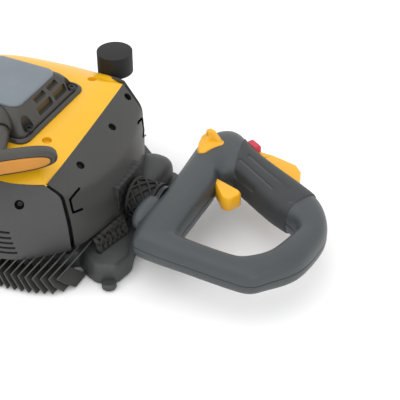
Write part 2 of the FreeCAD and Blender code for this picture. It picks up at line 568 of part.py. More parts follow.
# ---------------------------------------------------------------- rear handle
hdx, hdy, hz = g("handle_dx"), g("handle_dy"), g("swivel_z")
O_ = [(64, -32), (72, -46), (95, -51), (150, -53), (205, -54), (217, -48), (229, -30), (243, 0), (247, 28), (245, 50), (235, 70), (215, 92), (200, 101.7), (130, 143.3), (118, 153), (105, 164), (90, 168), (78, 161), (70, 142), (65, 100), (63, 50), (62, 0)]
I_ = [(109, -14), (116, -22), (180, -24), (193, -19), (207, 0), (214, 20), (217, 33), (200, 50.6), (150, 80.2), (128, 93), (116, 92), (110, 78), (109, 40)]
OUT = [(x + hdx, y + hdy) for x, y in O_]
INN = [(x + hdx, y + hdy) for x, y in I_]
hd, hw = g("half_depth"), g("handle_wall")


def half_shell(s):
    lv = [(0.0, 0.0), (0.5, 0.0), (0.82, 4.0), (1.0, 9.5)]
    o = loft([(offset(OUT, d), hz + s * hd * k) for k, d in lv])
    i = loft([(offset(INN, -d), hz + s * hd * k) for k, d in lv])
    solid = o.cut(i)
    lv2 = [(-0.05, hw), (0.5, hw), (0.74, hw + 3.5), (0.86, hw + 6.5)]
    o2 = loft([(offset(OUT, d), hz + s * hd * k) for k, d in lv2])
    i2 = loft([(offset(INN, -d), hz + s * hd * k) for k, d in lv2])
    return solid, o2.cut(i2)


collar_cut = Part.makeCylinder(g("collar_r"), 40.0, V(148.0, 0, hz), V(1, 0, 0))
grip_dir = (70.0, -41.6)
gn = math.hypot(*grip_dir)
gd = (grip_dir[0] / gn, grip_dir[1] / gn)
gnn = (-gd[1], gd[0])


def hp(x, y):
    return (x + hdx, y + hdy)


def prism(pts, z0, z1):
    return Part.Face(wire([hp(*p) for p in pts], z0)).extrude(V(0, 0, z1 - z0))


def gpt(a, b):
    """Point a along the grip from its front end and b out of its centre line."""
    bx, by = 125.0, 120.0
    return (bx + gd[0] * a + gnn[0] * b, by + gd[1] * a + gnn[1] * b)


# trigger, lockout lever, stop button and release lever, with the room they move in
trig_pts = [(104, 84), (110, 90), (113, 100), (122, 106), (134, 101), (150, 84), (149, 70), (140, 51), (133, 52), (120, 72), (110, 79)]
trig_room = [(100, 74), (100, 93), (107, 104), (114, 111), (126, 113), (142, 108), (162, 93), (168, 74), (150, 58), (112, 64)]
lock_pts = [(131, 138), (131, 147), (150, 147), (180, 141), (189, 132), (193, 118), (191, 108), (180, 104), (160, 116), (142, 127), (136, 129)]
lock_room = [(127.5, 134), (127.5, 152), (150, 154), (204, 134), (204, 100), (192, 91), (180, 91), (158, 103), (140, 118), (131, 124)]
stop_pts = [(114, 141), (122, 136), (134, 152), (125, 160)]
stop_room = [(109, 141), (122.5, 131.5), (139, 156), (125, 166)]
rel_pts = [(60, 168), (66, 169), (75, 158), (86, 146), (84, 134), (80, 122), (72, 120), (66, 124), (68, 146)]
rel_room = [(56, 172), (70, 172), (80, 160), (91, 148), (89, 130), (82, 116), (60, 114), (60, 130)]

upper_s, upper_c = half_shell(1)
lower_s, lower_c = half_shell(-1)
trig_k = prism(trig_room, hz - 9.5, hz + 9.5)
lock_k = prism(lock_room, hz - 9.5, hz + 9.5)
stop_k = prism(stop_room, hz - 6.5, hz + 6.5)
rel_k = prism(rel_room, hz - 9.5, hz + 9.5)
# sleeve zone along the grip, where the soft grip wraps the shells
sl_a, sl_b = 2.0, 82.0
sl_zone = prism([gpt(sl_a, -40), gpt(sl_b, -40), gpt(sl_b, 40), gpt(sl_a, 40)], hz - 40, hz + 40)
hub_tube = Part.makeCylinder(g("collar_r") + 3.0, 26.0, V(hdx + 64.0, 0, hz), V(1, 0, 0))


def skin(solid, s, depth):
    lv = [(0.0, depth), (0.5, depth), (0.82 - 0.02, 4.0 + depth), (1.0 - depth / hd, 9.5 + depth)]
    o = loft([(offset(OUT, d), hz + s * hd * k) for k, d in lv])
    i = loft([(offset(INN, -d), hz + s * hd * k) for k, d in lv])
    return o.cut(i)


def finish_half(solid, cavity, s):
    body = solid.cut(cavity)
    thin = solid.cut(skin(solid, s, 1.6)).common(sl_zone)
    body = body.cut(thin)
    halfbox = Part.makeBox(500, 500, 60, V(100, -200, hz if s > 0 else hz - 60))
    hub = hub_tube.common(solid.common(halfbox))
    body = body.fuse(hub)
    for t in (collar_cut, trig_k, lock_k, stop_k, rel_k):
        body = body.cut(t)
    return body.removeSplitter(), thin


up_shell, up_sleeve = finish_half(upper_s, upper_c, 1)
low_shell, low_sleeve = finish_half(lower_s, lower_c, -1)
node(feature("handle_up", up_shell), "handle_shell_upper")
for p in ((100, -36), (200, -37), (226, 30), (86, 60)):
    q = hp(*p)
    low_shell = low_shell.cut(Part.makeCylinder(2.6, 12.0, V(q[0], q[1], hz - hd - 2)))
node(feature("handle_low", low_shell), "handle_shell_lower")
sleeve = up_sleeve.fuse(low_sleeve)
for t in (trig_k, lock_k, stop_k):
    sleeve = sleeve.cut(t)
node(feature("sleeve", sleeve.removeSplitter()), "grip_sleeve")

col_o = cyl("col_o", "Dims.collar_r", 30, 148.0, 0, sw, axis=Y, angle=90)
col_b = cyl("col_b", "Dims.spigot_r + Dims.run_fit", 60, 140.0, 0, sw, axis=Y, angle=90)
node(cut("col_cut", col_o, col_b), "swivel_collar")

PIVOTS = {"trigger": (121.0, 99.0), "lockout": (138.0, 134.0), "release": (78.0, 130.0)}


def pinned(pts, key):
    px, py = hp(*PIVOTS[key])
    return prism(pts, hz - 8, hz + 8).cut(Part.makeCylinder(2.0 + g("run_fit"), 30.0, V(px, py, hz - 15)))


node(feature("trigger_s", pinned(trig_pts, "trigger")), "throttle_trigger")
node(feature("lock_s", pinned(lock_pts, "lockout")), "lockout_lever")
node(feature("stop_s", prism(stop_pts, hz - 5.5, hz + 5.5)), "stop_button")
node(feature("rel_s", pinned(rel_pts, "release")), "release_lever")
pins, springs = [], []
for key in ("trigger", "lockout", "release"):
    px, py = hp(*PIVOTS[key])
    pins.append(Part.makeCylinder(2.0, 18.9, V(px, py, hz - 9.45)))
    springs.append(Part.makeCylinder(3.2, 1.2, V(px, py, hz + 8.1)).cut(Part.makeCylinder(2.4, 10.0, V(px, py, hz + 5))))
node(feature("pins_s", Part.makeCompound(pins)), "lever_pins")
node(feature("springs_s", Part.makeCompound(springs)), "lever_springs")
for key in PIVOTS:
    print("pivot", key, hp(*PIVOTS[key]))

# ---------------------------------------------------------------- front handle and hand guard
fr, fh, fy = g("front_tube_r"), g("front_height"), g("front_half")
fx = -136.0
path = [V(fx, -fy, 26), V(fx, -fy, fh - 30), V(fx, -fy + 30, fh), V(fx, fy - 30, fh), V(fx, fy, fh - 30), V(fx, fy, 26)]


def rounded_path(pts, r):
    edges, last = [], pts[0]
    for i in range(1, len(pts) - 1):
        p, a, b = pts[i], pts[i - 1], pts[i + 1]
        d1, d2 = (a - p).normalize(), (b - p).normalize()
        ang = d1.getAngle(d2)
        tl = r / math.tan(ang / 2)
        q1, q2 = p + d1 * tl, p + d2 * tl
        bis = (d1 + d2).normalize()
        mid = p + bis * (r / math.sin(ang / 2) - r)
        edges.append(Part.LineSegment(last, q1).toShape())
        edges.append(Part.Arc(q1, mid, q2).toShape())
        last = q2
    edges.append(Part.LineSegment(last, pts[-1]).toShape())
    return Part.Wire(edges)


spine = rounded_path(path, 34.0)
prof = Part.Wire([Part.Circle(path[0], V(0, 0, 1), fr).toShape()])
tube = spine.makePipeShell([prof], True, False)
prof2 = Part.Wire([Part.Circle(path[0], V(0, 0, 1), fr - 3.0).toShape()])
tube_in = spine.makePipeShell([prof2], True, False)
lugs = []
for sy in (-1, 1):
    y0 = -fy - 12.0 if sy < 0 else 62.0
    lugs.append(Part.makeBox(24.0, fy + 12.0 - 62.0, 7.5, V(fx - 12.0, y0, 26.0)))
    lugs.append(Part.makeBox(52.0, 40.0, 7.5, V(fx - 12.0, -100.0 if sy < 0 else 60.0, 26.0)))
handle_f = tube.cut(tube_in)
for l in lugs:
    handle_f = handle_f.fuse(l)
node(feature("front_handle_s", handle_f.removeSplitter()), "front_handle")

gx = fx - 20.0
gpts = [(-104, 30), (104, 30), (112, 60), (106, 120), (74, 158), (-74, 158), (-106, 120), (-112, 60)]
gw = Part.makePolygon([V(gx, y, z) for y, z in gpts + gpts[:1]])
guard = Part.Face(gw).extrude(V(-4.0, 0, 0))
gfoot = Part.makeBox(48.0, 116.0, 4.0, V(gx - 4.0, -58.0, 26.0))
node(feature("hand_guard_s", guard.fuse(gfoot).removeSplitter()), "hand_guard")

# fuel filler cap on its seat at the right cowl's shoulder
fc = Part.makeCylinder(20.2, 25.4, V(57.0, 126.0, 112.6), V(0, 0, 1))
node(feature("fuel_cap_s", fc), "fuel_cap")

# ---------------------------------------------------------------- screws of the cowls and the handle
sc = []
for sx, sy_, sz in screw_dirs:
    base = V(sx - 14, sy_, sz - 6) + V(0.8, 0, 0.6) * 4.0
    sc.append(Part.makeCylinder(2.9, 8.0, base, V(0.8, 0, 0.6)))
sc.append(Part.makeCylinder(2.9, 6.0, V(78, -95, 106) + V(0, -0.8, 0.6) * 4.0, V(0, -0.8, 0.6)))
sc.append(Part.makeCylinder(2.9, 6.0, V(78, 95, 106) + V(0, 0.8, 0.6) * 4.0, V(0, 0.8, 0.6)))
cowl_set = feature("cowl_screws_s", Part.makeCompound(sc))
node(group("casing_screw_set", cowl_set, *caps), "casing_screws")
hs = []
for p in ((100, -36), (200, -37), (226, 30), (86, 60)):
    q = hp(*p)
    hs.append(Part.makeCylinder(2.6, 6.0, V(q[0], q[1], hz - hd - 0.4)))
hs_all = Part.makeCompound(hs)
node(feature("handle_screws_s", hs_all), "handle_screws")

# ---------------------------------------------------------------- check and write
doc.recompute()
bad = [o.Name + " " + str(o.State) for o in doc.Objects if "Invalid" in o.State or "Error" in o.State]
if bad:
    raise RuntimeError("failed objects: " + ", ".join(bad))
for o in NODES:
    if o.Shape.isNull() or not o.Shape.isValid() or not o.Shape.Solids:
        raise RuntimeError("bad shape: " + o.Label)
    for s in o.Shape.Solids:
        if s.Volume <= 0:
            raise RuntimeError("empty solid: " + o.Label)
for o in NODES:
    o.Shape.exportStep("parts/" + o.Label + ".step")
    bb = o.Shape.BoundBox
    print("%-22s solids %2d vol %9.0f  x %.0f..%.0f y %.0f..%.0f z %.0f..%.0f" % (o.Label, len(o.Shape.Solids), o.Shape.Volume, bb.XMin, bb.XMax, bb.YMin, bb.YMax, bb.ZMin, bb.ZMax))
print(len(NODES), "nodes")
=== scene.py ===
import math

import bmesh
import bpy
import numpy as np
from mathutils import Matrix, Vector
from mathutils.bvhtree import BVHTree


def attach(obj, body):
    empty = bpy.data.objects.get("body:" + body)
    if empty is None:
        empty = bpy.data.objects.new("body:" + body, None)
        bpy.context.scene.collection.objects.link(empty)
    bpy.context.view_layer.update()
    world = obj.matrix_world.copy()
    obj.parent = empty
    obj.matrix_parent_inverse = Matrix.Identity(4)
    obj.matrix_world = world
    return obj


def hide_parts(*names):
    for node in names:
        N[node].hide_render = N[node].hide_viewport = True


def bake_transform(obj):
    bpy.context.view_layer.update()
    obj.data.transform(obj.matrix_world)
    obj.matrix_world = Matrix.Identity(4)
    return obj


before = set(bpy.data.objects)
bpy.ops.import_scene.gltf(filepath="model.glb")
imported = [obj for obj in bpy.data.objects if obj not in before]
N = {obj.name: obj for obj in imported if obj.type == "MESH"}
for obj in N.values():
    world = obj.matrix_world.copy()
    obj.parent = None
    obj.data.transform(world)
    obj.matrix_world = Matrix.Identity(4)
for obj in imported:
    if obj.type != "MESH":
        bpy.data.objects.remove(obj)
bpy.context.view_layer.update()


MM = 0.001
COLL = bpy.context.scene.collection


# ------------------------------------------------------------------ materials
def lin(c):
    return tuple(((x / 255.0) / 12.92) if x <= 10 else (((x / 255.0) + 0.055) / 1.055) ** 2.4 for x in c)


TONE = 0.60


def material(name, rgb, rough=0.45, metal=0.0, grain=900.0, bump=0.06, blotch=14.0, vary=0.10, coat=0.0, spec=0.5):
    m = bpy.data.materials.new(name)
    m.use_nodes = True
    t = m.node_tree
    b = t.nodes["Principled BSDF"]
    tc = t.nodes.new("ShaderNodeTexCoord")
    n1 = t.nodes.new("ShaderNodeTexNoise")
    n1.inputs["Scale"].default_value = blotch
    n1.inputs["Detail"].default_value = 4.0
    t.links.new(tc.outputs["Object"], n1.inputs["Vector"])
    ramp = t.nodes.new("ShaderNodeValToRGB")
    tone = 1.0 if name == "floor_white" else 0.74 if "yellow" in name or name == "red_plastic" else TONE
    c = tuple(x * tone for x in lin(rgb))
    ramp.color_ramp.elements[0].position = 0.3
    ramp.color_ramp.elements[1].position = 0.7
    ramp.color_ramp.elements[0].color = (*[x * (1 - vary) for x in c], 1)
    ramp.color_ramp.elements[1].color = (*[min(1.0, x * (1 + vary)) for x in c], 1)
    t.links.new(n1.outputs["Fac"], ramp.inputs["Fac"])
    t.links.new(ramp.outputs["Color"], b.inputs["Base Color"])
    n2 = t.nodes.new("ShaderNodeTexNoise")
    n2.inputs["Scale"].default_value = grain
    n2.inputs["Detail"].default_value = 3.0
    t.links.new(tc.outputs["Object"], n2.inputs["Vector"])
    bp = t.nodes.new("ShaderNodeBump")
    bp.inputs["Strength"].default_value = bump
    bp.inputs["Distance"].default_value = 0.0006
    t.links.new(n2.outputs["Fac"], bp.inputs["Height"])
    t.links.new(bp.outputs["Normal"], b.inputs["Normal"])
    mr = t.nodes.new("ShaderNodeMapRange")
    mr.inputs["From Min"].default_value = 0.2
    mr.inputs["From Max"].default_value = 0.8
    mr.inputs["To Min"].default_value = rough * 0.88
    mr.inputs["To Max"].default_value = min(1.0, rough * 1.12)
    t.links.new(n2.outputs["Fac"], mr.inputs["Value"])
    t.links.new(mr.outputs["Result"], b.inputs["Roughness"])
    b.inputs["Metallic"].default_value = metal
    b.inputs["Coat Weight"].default_value = coat
    b.inputs["Specular IOR Level"].default_value = spec
    return m


def dotted(name, rgb, hole_shade_rgb, pitch=0.0062, radius=0.0021):
    """Plate with staggered round holes painted as near-black dots, laid out in the object's Y and Z; the dots are
    painted shade for the dark inside of the holes.
    """
    m = material(name, rgb, 0.55)
    t = m.node_tree
    b = t.nodes["Principled BSDF"]
    old = b.inputs["Base Color"].links[0].from_socket
    tc = [n for n in t.nodes if n.type == "TEX_COORD"][0]
    sep = t.nodes.new("ShaderNodeSeparateXYZ")
    t.links.new(tc.outputs["Object"], sep.inputs[0])

    def mathn(op, a, bb=None, c=None):
        n = t.nodes.new("ShaderNodeMath")
        n.operation = op
        for k, v in enumerate((a, bb, c)):
            if v is None:
                continue
            if isinstance(v, (int, float)):
                n.inputs[k].default_value = v
            else:
                t.links.new(v, n.inputs[k])
        return n.outputs[0]

    row = mathn("DIVIDE", sep.outputs["Z"], pitch)
    odd = mathn("MODULO", mathn("FLOOR", row), 2.0)
    fz = mathn("SUBTRACT", mathn("FRACT", row), 0.5)
    fy = mathn("SUBTRACT", mathn("FRACT", mathn("ADD", mathn("DIVIDE", sep.outputs["Y"], pitch), mathn("MULTIPLY", odd, 0.5))), 0.5)
    d = mathn("SQRT", mathn("ADD", mathn("MULTIPLY", fz, fz), mathn("MULTIPLY", fy, fy)))
    on = mathn("LESS_THAN", d, radius / pitch)
    mix = t.nodes.new("ShaderNodeMix")
    mix.data_type = "RGBA"
    t.links.new(on, mix.inputs[0])
    t.links.new(old, mix.inputs[6])
    # painted shade: the hole dots get the near-black hole colour
    mix.inputs[7].default_value = (*lin(hole_shade_rgb), 1)
    t.links.new(mix.outputs[2], b.inputs["Base Color"])
    return m


HANDLE = material("handle_grey", (70, 76, 79), 0.42, bump=0.05)
COWL = material("cowl_grey", (64, 65, 63), 0.46, bump=0.07)
SIDE = material("side_grey", (72, 73, 72), 0.5, bump=0.07)
COVER = material("starter_grey", (66, 64, 59), 0.42, bump=0.05)
YELLOW = material("yellow_plastic", (255, 192, 22), 0.34, bump=0.03, vary=0.05)
LEVER = material("lever_yellow", (255, 186, 20), 0.36, bump=0.03, vary=0.05)
PANEL = material("panel_blue_grey", (130, 140, 150), 0.4, bump=0.10, grain=260.0, vary=0.12)
SLEEVE = material("sleeve_rubber", (52, 56, 58), 0.58, bump=0.12)
RED = material("red_plastic", (208, 44, 66), 0.38)
AMBER = material("amber_rubber", (228, 152, 44), 0.5, bump=0.16, grain=320.0)
BASE = material("base_charcoal", (66, 68, 68), 0.5, bump=0.08)
FIN = material("fin_charcoal", (74, 74, 72), 0.5, bump=0.05)
LATTICE = material("lattice_dark", (36, 35, 34), 0.6, bump=0.08, spec=0.3)
# painted shade for the inside of the screw recesses
RECESS_SHADE = material("recess_painted_shade", (34, 34, 33), 0.7, bump=0.1, spec=0.2)
# painted shade for the engraved hook grooves
HOOK_SHADE = material("groove_painted_shade", (6, 6, 6), 0.95, bump=0.1, spec=0.0)
BLACK = material("black_inner", (16, 16, 17), 0.7, bump=0.1)
ROPE = material("rope_cord", (210, 205, 190), 0.8, bump=0.5, grain=1400.0)
CAST = material("cast_alloy", (150, 152, 154), 0.5, metal=0.9, bump=0.25, grain=500.0)
STEEL = material("bright_steel", (196, 198, 200), 0.26, metal=1.0, bump=0.08, grain=1200.0, vary=0.05)
DARKST = material("dark_steel", (70, 72, 76), 0.4, metal=0.8)
VENT = dotted("vent_plate", (50, 49, 45), (8, 8, 8))
VENT2 = dotted("collar_plate", (46, 46, 45), (10, 10, 10), 0.0075, 0.0027)
GOLD = material("mesh_brown", (104, 84, 44), 0.6, bump=0.5, grain=700.0)

SLOT_OF = {}


# ------------------------------------------------------------------ mesh helpers
def finish_mesh(ob, angle=38.0):
    me = ob.data
    bm = bmesh.new()
    bm.from_mesh(me)
    bmesh.ops.remove_doubles(bm, verts=bm.verts, dist=1e-6)
    bmesh.ops.recalc_face_normals(bm, faces=bm.faces)
    bm.to_mesh(me)
    bm.free()
    for p in me.polygons:
        p.use_smooth = True
    me.set_sharp_from_angle(angle=math.radians(angle))


def make(name, verts, faces, mat, angle=38.0, tidy=True):
    me = bpy.data.meshes.new(name)
    me.from_pydata([(float(v[0]) * MM, float(v[1]) * MM, float(v[2]) * MM) for v in verts], [], [tuple(int(i) for i in f) for f in faces])
    me.update()
    ob = bpy.data.objects.new(name, me)
    COLL.objects.link(ob)
    me.materials.append(mat)
    if tidy:
        finish_mesh(ob, angle)
    return ob


def apply_mods(ob, angle=38.0):
    bpy.context.view_layer.update()
    dg = bpy.context.evaluated_depsgraph_get()
    me = bpy.data.meshes.new_from_object(ob.evaluated_get(dg))
    ob.modifiers.clear()
    old = ob.data
    ob.data = me
    bpy.data.meshes.remove(old)
    for p in me.polygons:
        p.use_smooth = True
    me.set_sharp_from_angle(angle=math.radians(angle))
    return ob


def solidify(ob, t, offset=-1.0):
    m = ob.modifiers.new("shell", "SOLIDIFY")
    m.thickness = t * MM
    m.offset = offset
    m.use_even_offset = False
    return ob


def bevel(ob, w, seg=2, angle=38.0):
    m = ob.modifiers.new("edge", "BEVEL")
    m.width = w * MM
    m.segments = seg
    m.limit_method = "ANGLE"
    m.angle_limit = math.radians(angle)
    m.harden_normals = False
    return ob


def cut_with(ob, cutters):
    """Cut every cutter out of ob and drop the cutters."""
    bm = bmesh.new()
    for c in cutters:
        bm.from_mesh(c.data)
    me = bpy.data.meshes.new("cutter")
    bm.to_mesh(me)
    bm.free()
    co = bpy.data.objects.new("cutter", me)
    COLL.objects.link(co)
    m = ob.modifiers.new("cut", "BOOLEAN")
    m.operation = "DIFFERENCE"
    m.solver = "EXACT"
    m.use_self = True
    m.object = co
    apply_mods(ob)
    for c in list(cutters) + [co]:
        bpy.data.objects.remove(c)
    return ob


def grid_faces(rows, cols, wrap_u=False, wrap_v=False, base=0):
    out = []
    for i in range(rows if wrap_v else rows - 1):
        for j in range(cols if wrap_u else cols - 1):
            a = i * cols + j
            b = i * cols + (j + 1) % cols
            c = ((i + 1) % rows) * cols + (j + 1) % cols
            d = ((i + 1) % rows) * cols + j
            out.append((a + base, b + base, c + base, d + base))
    return out


def tube(path, r, sides=12, caps=True, squash=None):
    """Round bar through path points (mm)."""
    P = np.array(path, float)
    T = np.gradient(P, axis=0)
    T /= np.linalg.norm(T, axis=1)[:, None]
    ref = np.array([0, 0, 1.0]) if abs(T[0][2]) < 0.9 else np.array([1.0, 0, 0])
    u = np.cross(T[0], ref)
    u /= np.linalg.norm(u)
    V, rr = [], np.broadcast_to(np.array(r, float), (len(P),))
    for k in range(len(P)):
        u = u - T[k] * (u @ T[k])
        u /= np.linalg.norm(u)
        w = np.cross(T[k], u)
        for s in range(sides):
            a = 2 * math.pi * s / sides
            V.append(P[k] + rr[k] * (math.cos(a) * u + math.sin(a) * w))
    F = grid_faces(len(P), sides, wrap_u=True)
    if caps:
        F.append(tuple(range(sides))[::-1])
        F.append(tuple(range((len(P) - 1) * sides, len(P) * sides)))
    return V, F


def lathe(profile, centre, axis, sides=28):
    """Turned piece: profile of (radius, height) about axis at centre (mm)."""
    a = np.array(axis, float)
    a /= np.linalg.norm(a)
    u = np.cross(a, [0, 0, 1.0] if abs(a[2]) < 0.9 else [1.0, 0, 0])
    u /= np.linalg.norm(u)
    w = np.cross(a, u)
    c = np.array(centre, float)
    V = []
    for r, h in profile:
        for s in range(sides):
            t = 2 * math.pi * s / sides
            V.append(c + a * h + r * (math.cos(t) * u + math.sin(t) * w))
    return V, grid_faces(len(profile), sides, wrap_u=True)


def join_parts(parts):
    V, F = [], []
    for v, f in parts:
        b = len(V)
        V += [tuple(p) for p in v]
        F += [tuple(i + b for i in q) for q in f]
    return V, F


def catmull(P, n, closed=False):
    P = np.array(P, float)
    k = len(P)
    out = []
    segs = k if closed else k - 1
    for t in np.linspace(0, segs, n, endpoint=not closed):
        i = min(int(t), segs - 1)
        f = t - i
        if closed:
            p0, p1, p2, p3 = P[(i - 1) % k], P[i % k], P[(i + 1) % k], P[(i + 2) % k]
        else:
            p1, p2 = P[i], P[i + 1]
            p0 = P[i - 1] if i > 0 else 2 * p1 - p2
            p3 = P[i + 2] if i + 2 < k else 2 * p2 - p1
        out.append(0.5 * ((2 * p1) + (-p0 + p2) * f + (2 * p0 - 5 * p1 + 4 * p2 - p3) * f * f + (-p0 + 3 * p1 - 3 * p2 + p3) * f ** 3))
    return np.array(out)


def gauss(A, sigma, wrap, axis):
    if sigma <= 0:
        return A
    k = int(sigma * 3) + 1
    w = np.exp(-0.5 * (np.arange(-k, k + 1) / sigma) ** 2)
    w /= w.sum()
    A = np.moveaxis(A, axis, 0)
    if wrap:
        B = np.concatenate([A[-k:], A, A[:k]])
    else:
        B = np.concatenate([2 * A[0] - A[k:0:-1], A, 2 * A[-1] - A[-2:-k - 2:-1]])
    out = sum(w[i] * B[i:i + len(A)] for i in range(2 * k + 1))
    return np.moveaxis(out, 0, axis)


def put(ob, body, repl=()):
    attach(ob, body)
    if repl:
        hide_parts(*repl)
    return ob


# ------------------------------------------------------------------ engine cowls and yellow cover
NR_, NS_, NFR = 120, 150, 60


def ring(NRp, RM, FR, P1, P2, P3, P4, NF, FM, sig, far_pts=None):
    def mir(p):
        return (p[0], -p[1], p[2])

    def quad(a, m, b, n):
        t = np.linspace(0, 1, n, endpoint=False)[:, None]
        a, m, b = (np.array(x, float) for x in (a, m, b))
        c = 2 * m - 0.5 * (a + b)
        return (1 - t) ** 2 * a + 2 * (1 - t) * t * c + t ** 2 * b

    rear = quad(NRp, RM, FR, NR_)
    far = catmull([FR] + (far_pts or [mir(P1), mir(P2), mir(P3), mir(P4)]) + [mir(NF)], NS_ + 1)[:-1]
    front = quad(mir(NF), FM, NF, NFR)
    near = catmull([NF, P4, P3, P2, P1, NRp], NS_ + 1)[:-1]
    return gauss(np.concatenate([rear, far, front, near]), sig, True, 0)


LOWR = ring((122, -89, 35), (145, -2, 46), (113, 84, 36), (93, -116, 35), (62, -131, 35), (0, -134, 35), (-60, -122, 35), (-110, -86, 35), (-124, 0, 35), 2.6)
LWMR = ring((120, -89, 70), (141, -2, 70), (114, 87, 70), (93, -113, 62), (62, -129, 60), (0, -132, 60), (-60, -120, 60), (-110, -86, 62), (-123, 0, 62), 2.6)
MIDR = ring((114.5, -88, 102), (130, -2, 98), (111, 90, 101), (90, -108, 93), (62, -121, 88), (0, -124, 87), (-60, -114, 88), (-108, -84, 92), (-120, 0, 92), 2.4)
TOPR = ring((101, -92.5, 114.5), (95.5, -8, 118.5), (85, 99, 121.5), (80, -101, 115), (57.5, -106, 115.5), (0, -107, 116), (-60, -99, 116), (-100, -80, 116), (-110, 0, 116), 1.2, [(70, 103.5, 120.0), (45, 106, 117.5), (0, 107, 116), (-60, 99, 116)])

levels = []
for a, b, n in ((LOWR, LWMR, 12), (LWMR, MIDR, 14), (MIDR, TOPR, 12)):
    for k in range(n):
        levels.append(a + (b - a) * (k / n))
levels.append(TOPR)
G = gauss(np.array(levels), 1.8, False, 0)
G[0], G[-1] = LOWR, TOPR
TOTAL = NR_ + NS_ + NFR + NS_


def cols(i0, i1):
    idx = [k % TOTAL for k in range(i0, i1 + 1)]
    return G[:, idx, :]


def shell_piece(name, i0, i1, mat, t=3.0):
    A = cols(i0, i1)
    r, c, _ = A.shape
    V = A.reshape(-1, 3)
    ob = make(name, V, grid_faces(r, c), mat)
    return ob


allF = grid_faces(G.shape[0], TOTAL, wrap_u=True)
BV = BVHTree.FromPolygons([tuple(p) for p in G.reshape(-1, 3)], allF)
CEN = np.array([10.0, 0, 80.0])


def on_surface(p):
    loc, nor, _, _ = BV.find_nearest(Vector(p))
    n = np.array(nor)
    if n @ (np.array(loc) - CEN) < 0:
        n = -n
    return np.array(loc), n


def cylinder_cut(c, n, r, depth, up=4.0):
    V, F = lathe([(r, -depth), (r, up)], c, n, 32)
    k = 32
    F = F + [tuple(range(k))[::-1], tuple(range(k, 2 * k))]
    return make("c", V, F, BLACK)


rear = shell_piece("rear_shell", 3, NR_ - 3, COWL)
side_l = shell_piece("side_shell_left", NR_ + NS_ + NFR + 1, TOTAL, SIDE)
side_r = shell_piece("side_shell_right", NR_, NR_ + NS_ - 1, SIDE)
front = shell_piece("front_shell", NR_ + NS_, NR_ + NS_ + NFR, COWL)
for ob in (rear, side_l, side_r, front):
    # outward normals so that the wall grows inwards
    me = ob.data
    s = sum(((p.center / MM) - Vector(CEN)).dot(p.normal) for p in me.polygons)
    if s < 0:
        me.flip_normals()
    solidify(ob, 3.2)
    apply_mods(ob)

recess = [on_surface(p) for p in ((110.5, -42.0, 109.0), (107.0, 29.6, 110.0), (95.8, 83.0, 112.5))]
side_rec = [on_surface((77.0, -104.0, 93.0))]
side_rec_r = [on_surface((77.0, 104.0, 93.0))]
cut_with(rear, [cylinder_cut(c, n, 4.6, 9.0) for c, n in recess])
louv = []
for k in range(5):
    z = 42.0 + 6.0 * k
    x1 = 80.0 - 1.6 * k
    for x0, xe in ((x1 - 66.0, x1),):
        V = [(x0, -150, z), (xe, -150, z), (xe, -112, z), (x0, -112, z), (x0, -150, z + 2.6), (xe, -150, z + 2.6), (xe, -112, z + 2.6), (x0, -112, z + 2.6)]
        F = [(0, 3, 2, 1), (4, 5, 6, 7), (0, 1, 5, 4), (1, 2, 6, 5), (2, 3, 7, 6), (3, 0, 4, 7)]
        louv.append((V, F))
cut_with(side_l, [cylinder_cut(c, n, 5.0, 9.0) for c, n in side_rec] + [make("c", v, f, BLACK) for v, f in louv])
mirl = [([(x, -y, z) for x, y, z in v], [q[::-1] for q in f]) for v, f in louv]
cut_with(side_r, [cylinder_cut(c, n, 5.0, 9.0) for c, n in side_rec_r] + [make("c", v, f, BLACK) for v, f in mirl])
for ob in (rear, side_l, side_r, front):
    bevel(ob, 0.7, 2, 42)
put(rear, "chassis", ("rear_cowl",))
put(side_l, "chassis", ("side_cowl_left",))
put(side_r, "chassis", ("side_cowl_right",))
put(front, "chassis", ("front_cowl",))

# cups of the screw recesses with their screws; the cups are coloured darker than the cowl as painted shade inside the
# recesses
cups, screws = [], []
for (c, n), r in [(x, 4.6) for x in recess] + [(x, 5.0) for x in side_rec + side_rec_r]:
    cups.append(lathe([(r + 0.02, -0.6), (r - 0.2, -8.0), (0.05, -8.2)], c, n, 32))
    screws.append(lathe([(0.05, -6.9), (1.3, -6.9), (1.5, -5.4), (2.4, -5.2), (3.0, -5.8), (3.0, -8.1)], c, n, 24))
V, F = join_parts(cups)
put(make("recess_cups", V, F, RECESS_SHADE), "chassis")

# inner liner: a black sheet standing in for painted shade, so that the gaps read dark
L = G[1:-1:3].copy()
cen = L.mean(axis=1, keepdims=True)
rad = L - cen
rn = np.linalg.norm(rad[..., :2], axis=2, keepdims=True)
L = L - rad / rn * np.array([1, 1, 0.0]) * 9.5
V = L.reshape(-1, 3)
shade_liner = make("cowl_shade_liner", V, grid_faces(L.shape[0], TOTAL, wrap_u=True), BLACK)
put(shade_liner, "chassis")

# engraved hooks on the rear cowl, drawn as near-black tubes whose black is painted shade of the grooves
hooks = []
for sy in (-1, 1):
    pts = catmull([(127.8, sy * 65.3, 102.7), (122.6, sy * 79.0, 95.4), (122.4, sy * 80.0, 94.0), (123.6, sy * 80.5, 81.5), (124.2, sy * 79.6, 79.5), (129.0, sy * 70.0, 78.3)], 40)
    pp = []
    for p in pts:
        c, n = on_surface(p)
        pp.append(c - n * 0.35)
    hooks.append(tube(pp, 1.4, 8))
V, F = join_parts(hooks)
put(make("rear_hooks", V, F, HOOK_SHADE), "chassis")

# yellow cover from the cowl line in to the starter opening
def rect_ring(x0, x1, y, z, r):
    q = []
    for cx, cy, a0 in ((x1 - r, -y + r, -90), (x1 - r, y - r, 0), (x0 + r, y - r, 90), (x0 + r, -y + r, 180)):
        pass
    NRc, FRc, FFc, NFc = (x1, -y, z), (x1, y, z), (x0, y, z), (x0, -y, z)

    def ln(a, b, n):
        t = np.linspace(0, 1, n, endpoint=False)[:, None]
        return np.array(a) * (1 - t) + np.array(b) * t

    return gauss(np.concatenate([ln(NRc, FRc, NR_), ln(FRc, FFc, NS_), ln(FFc, NFc, NFR), ln(NFc, NRc, NS_)]), r, True, 0)


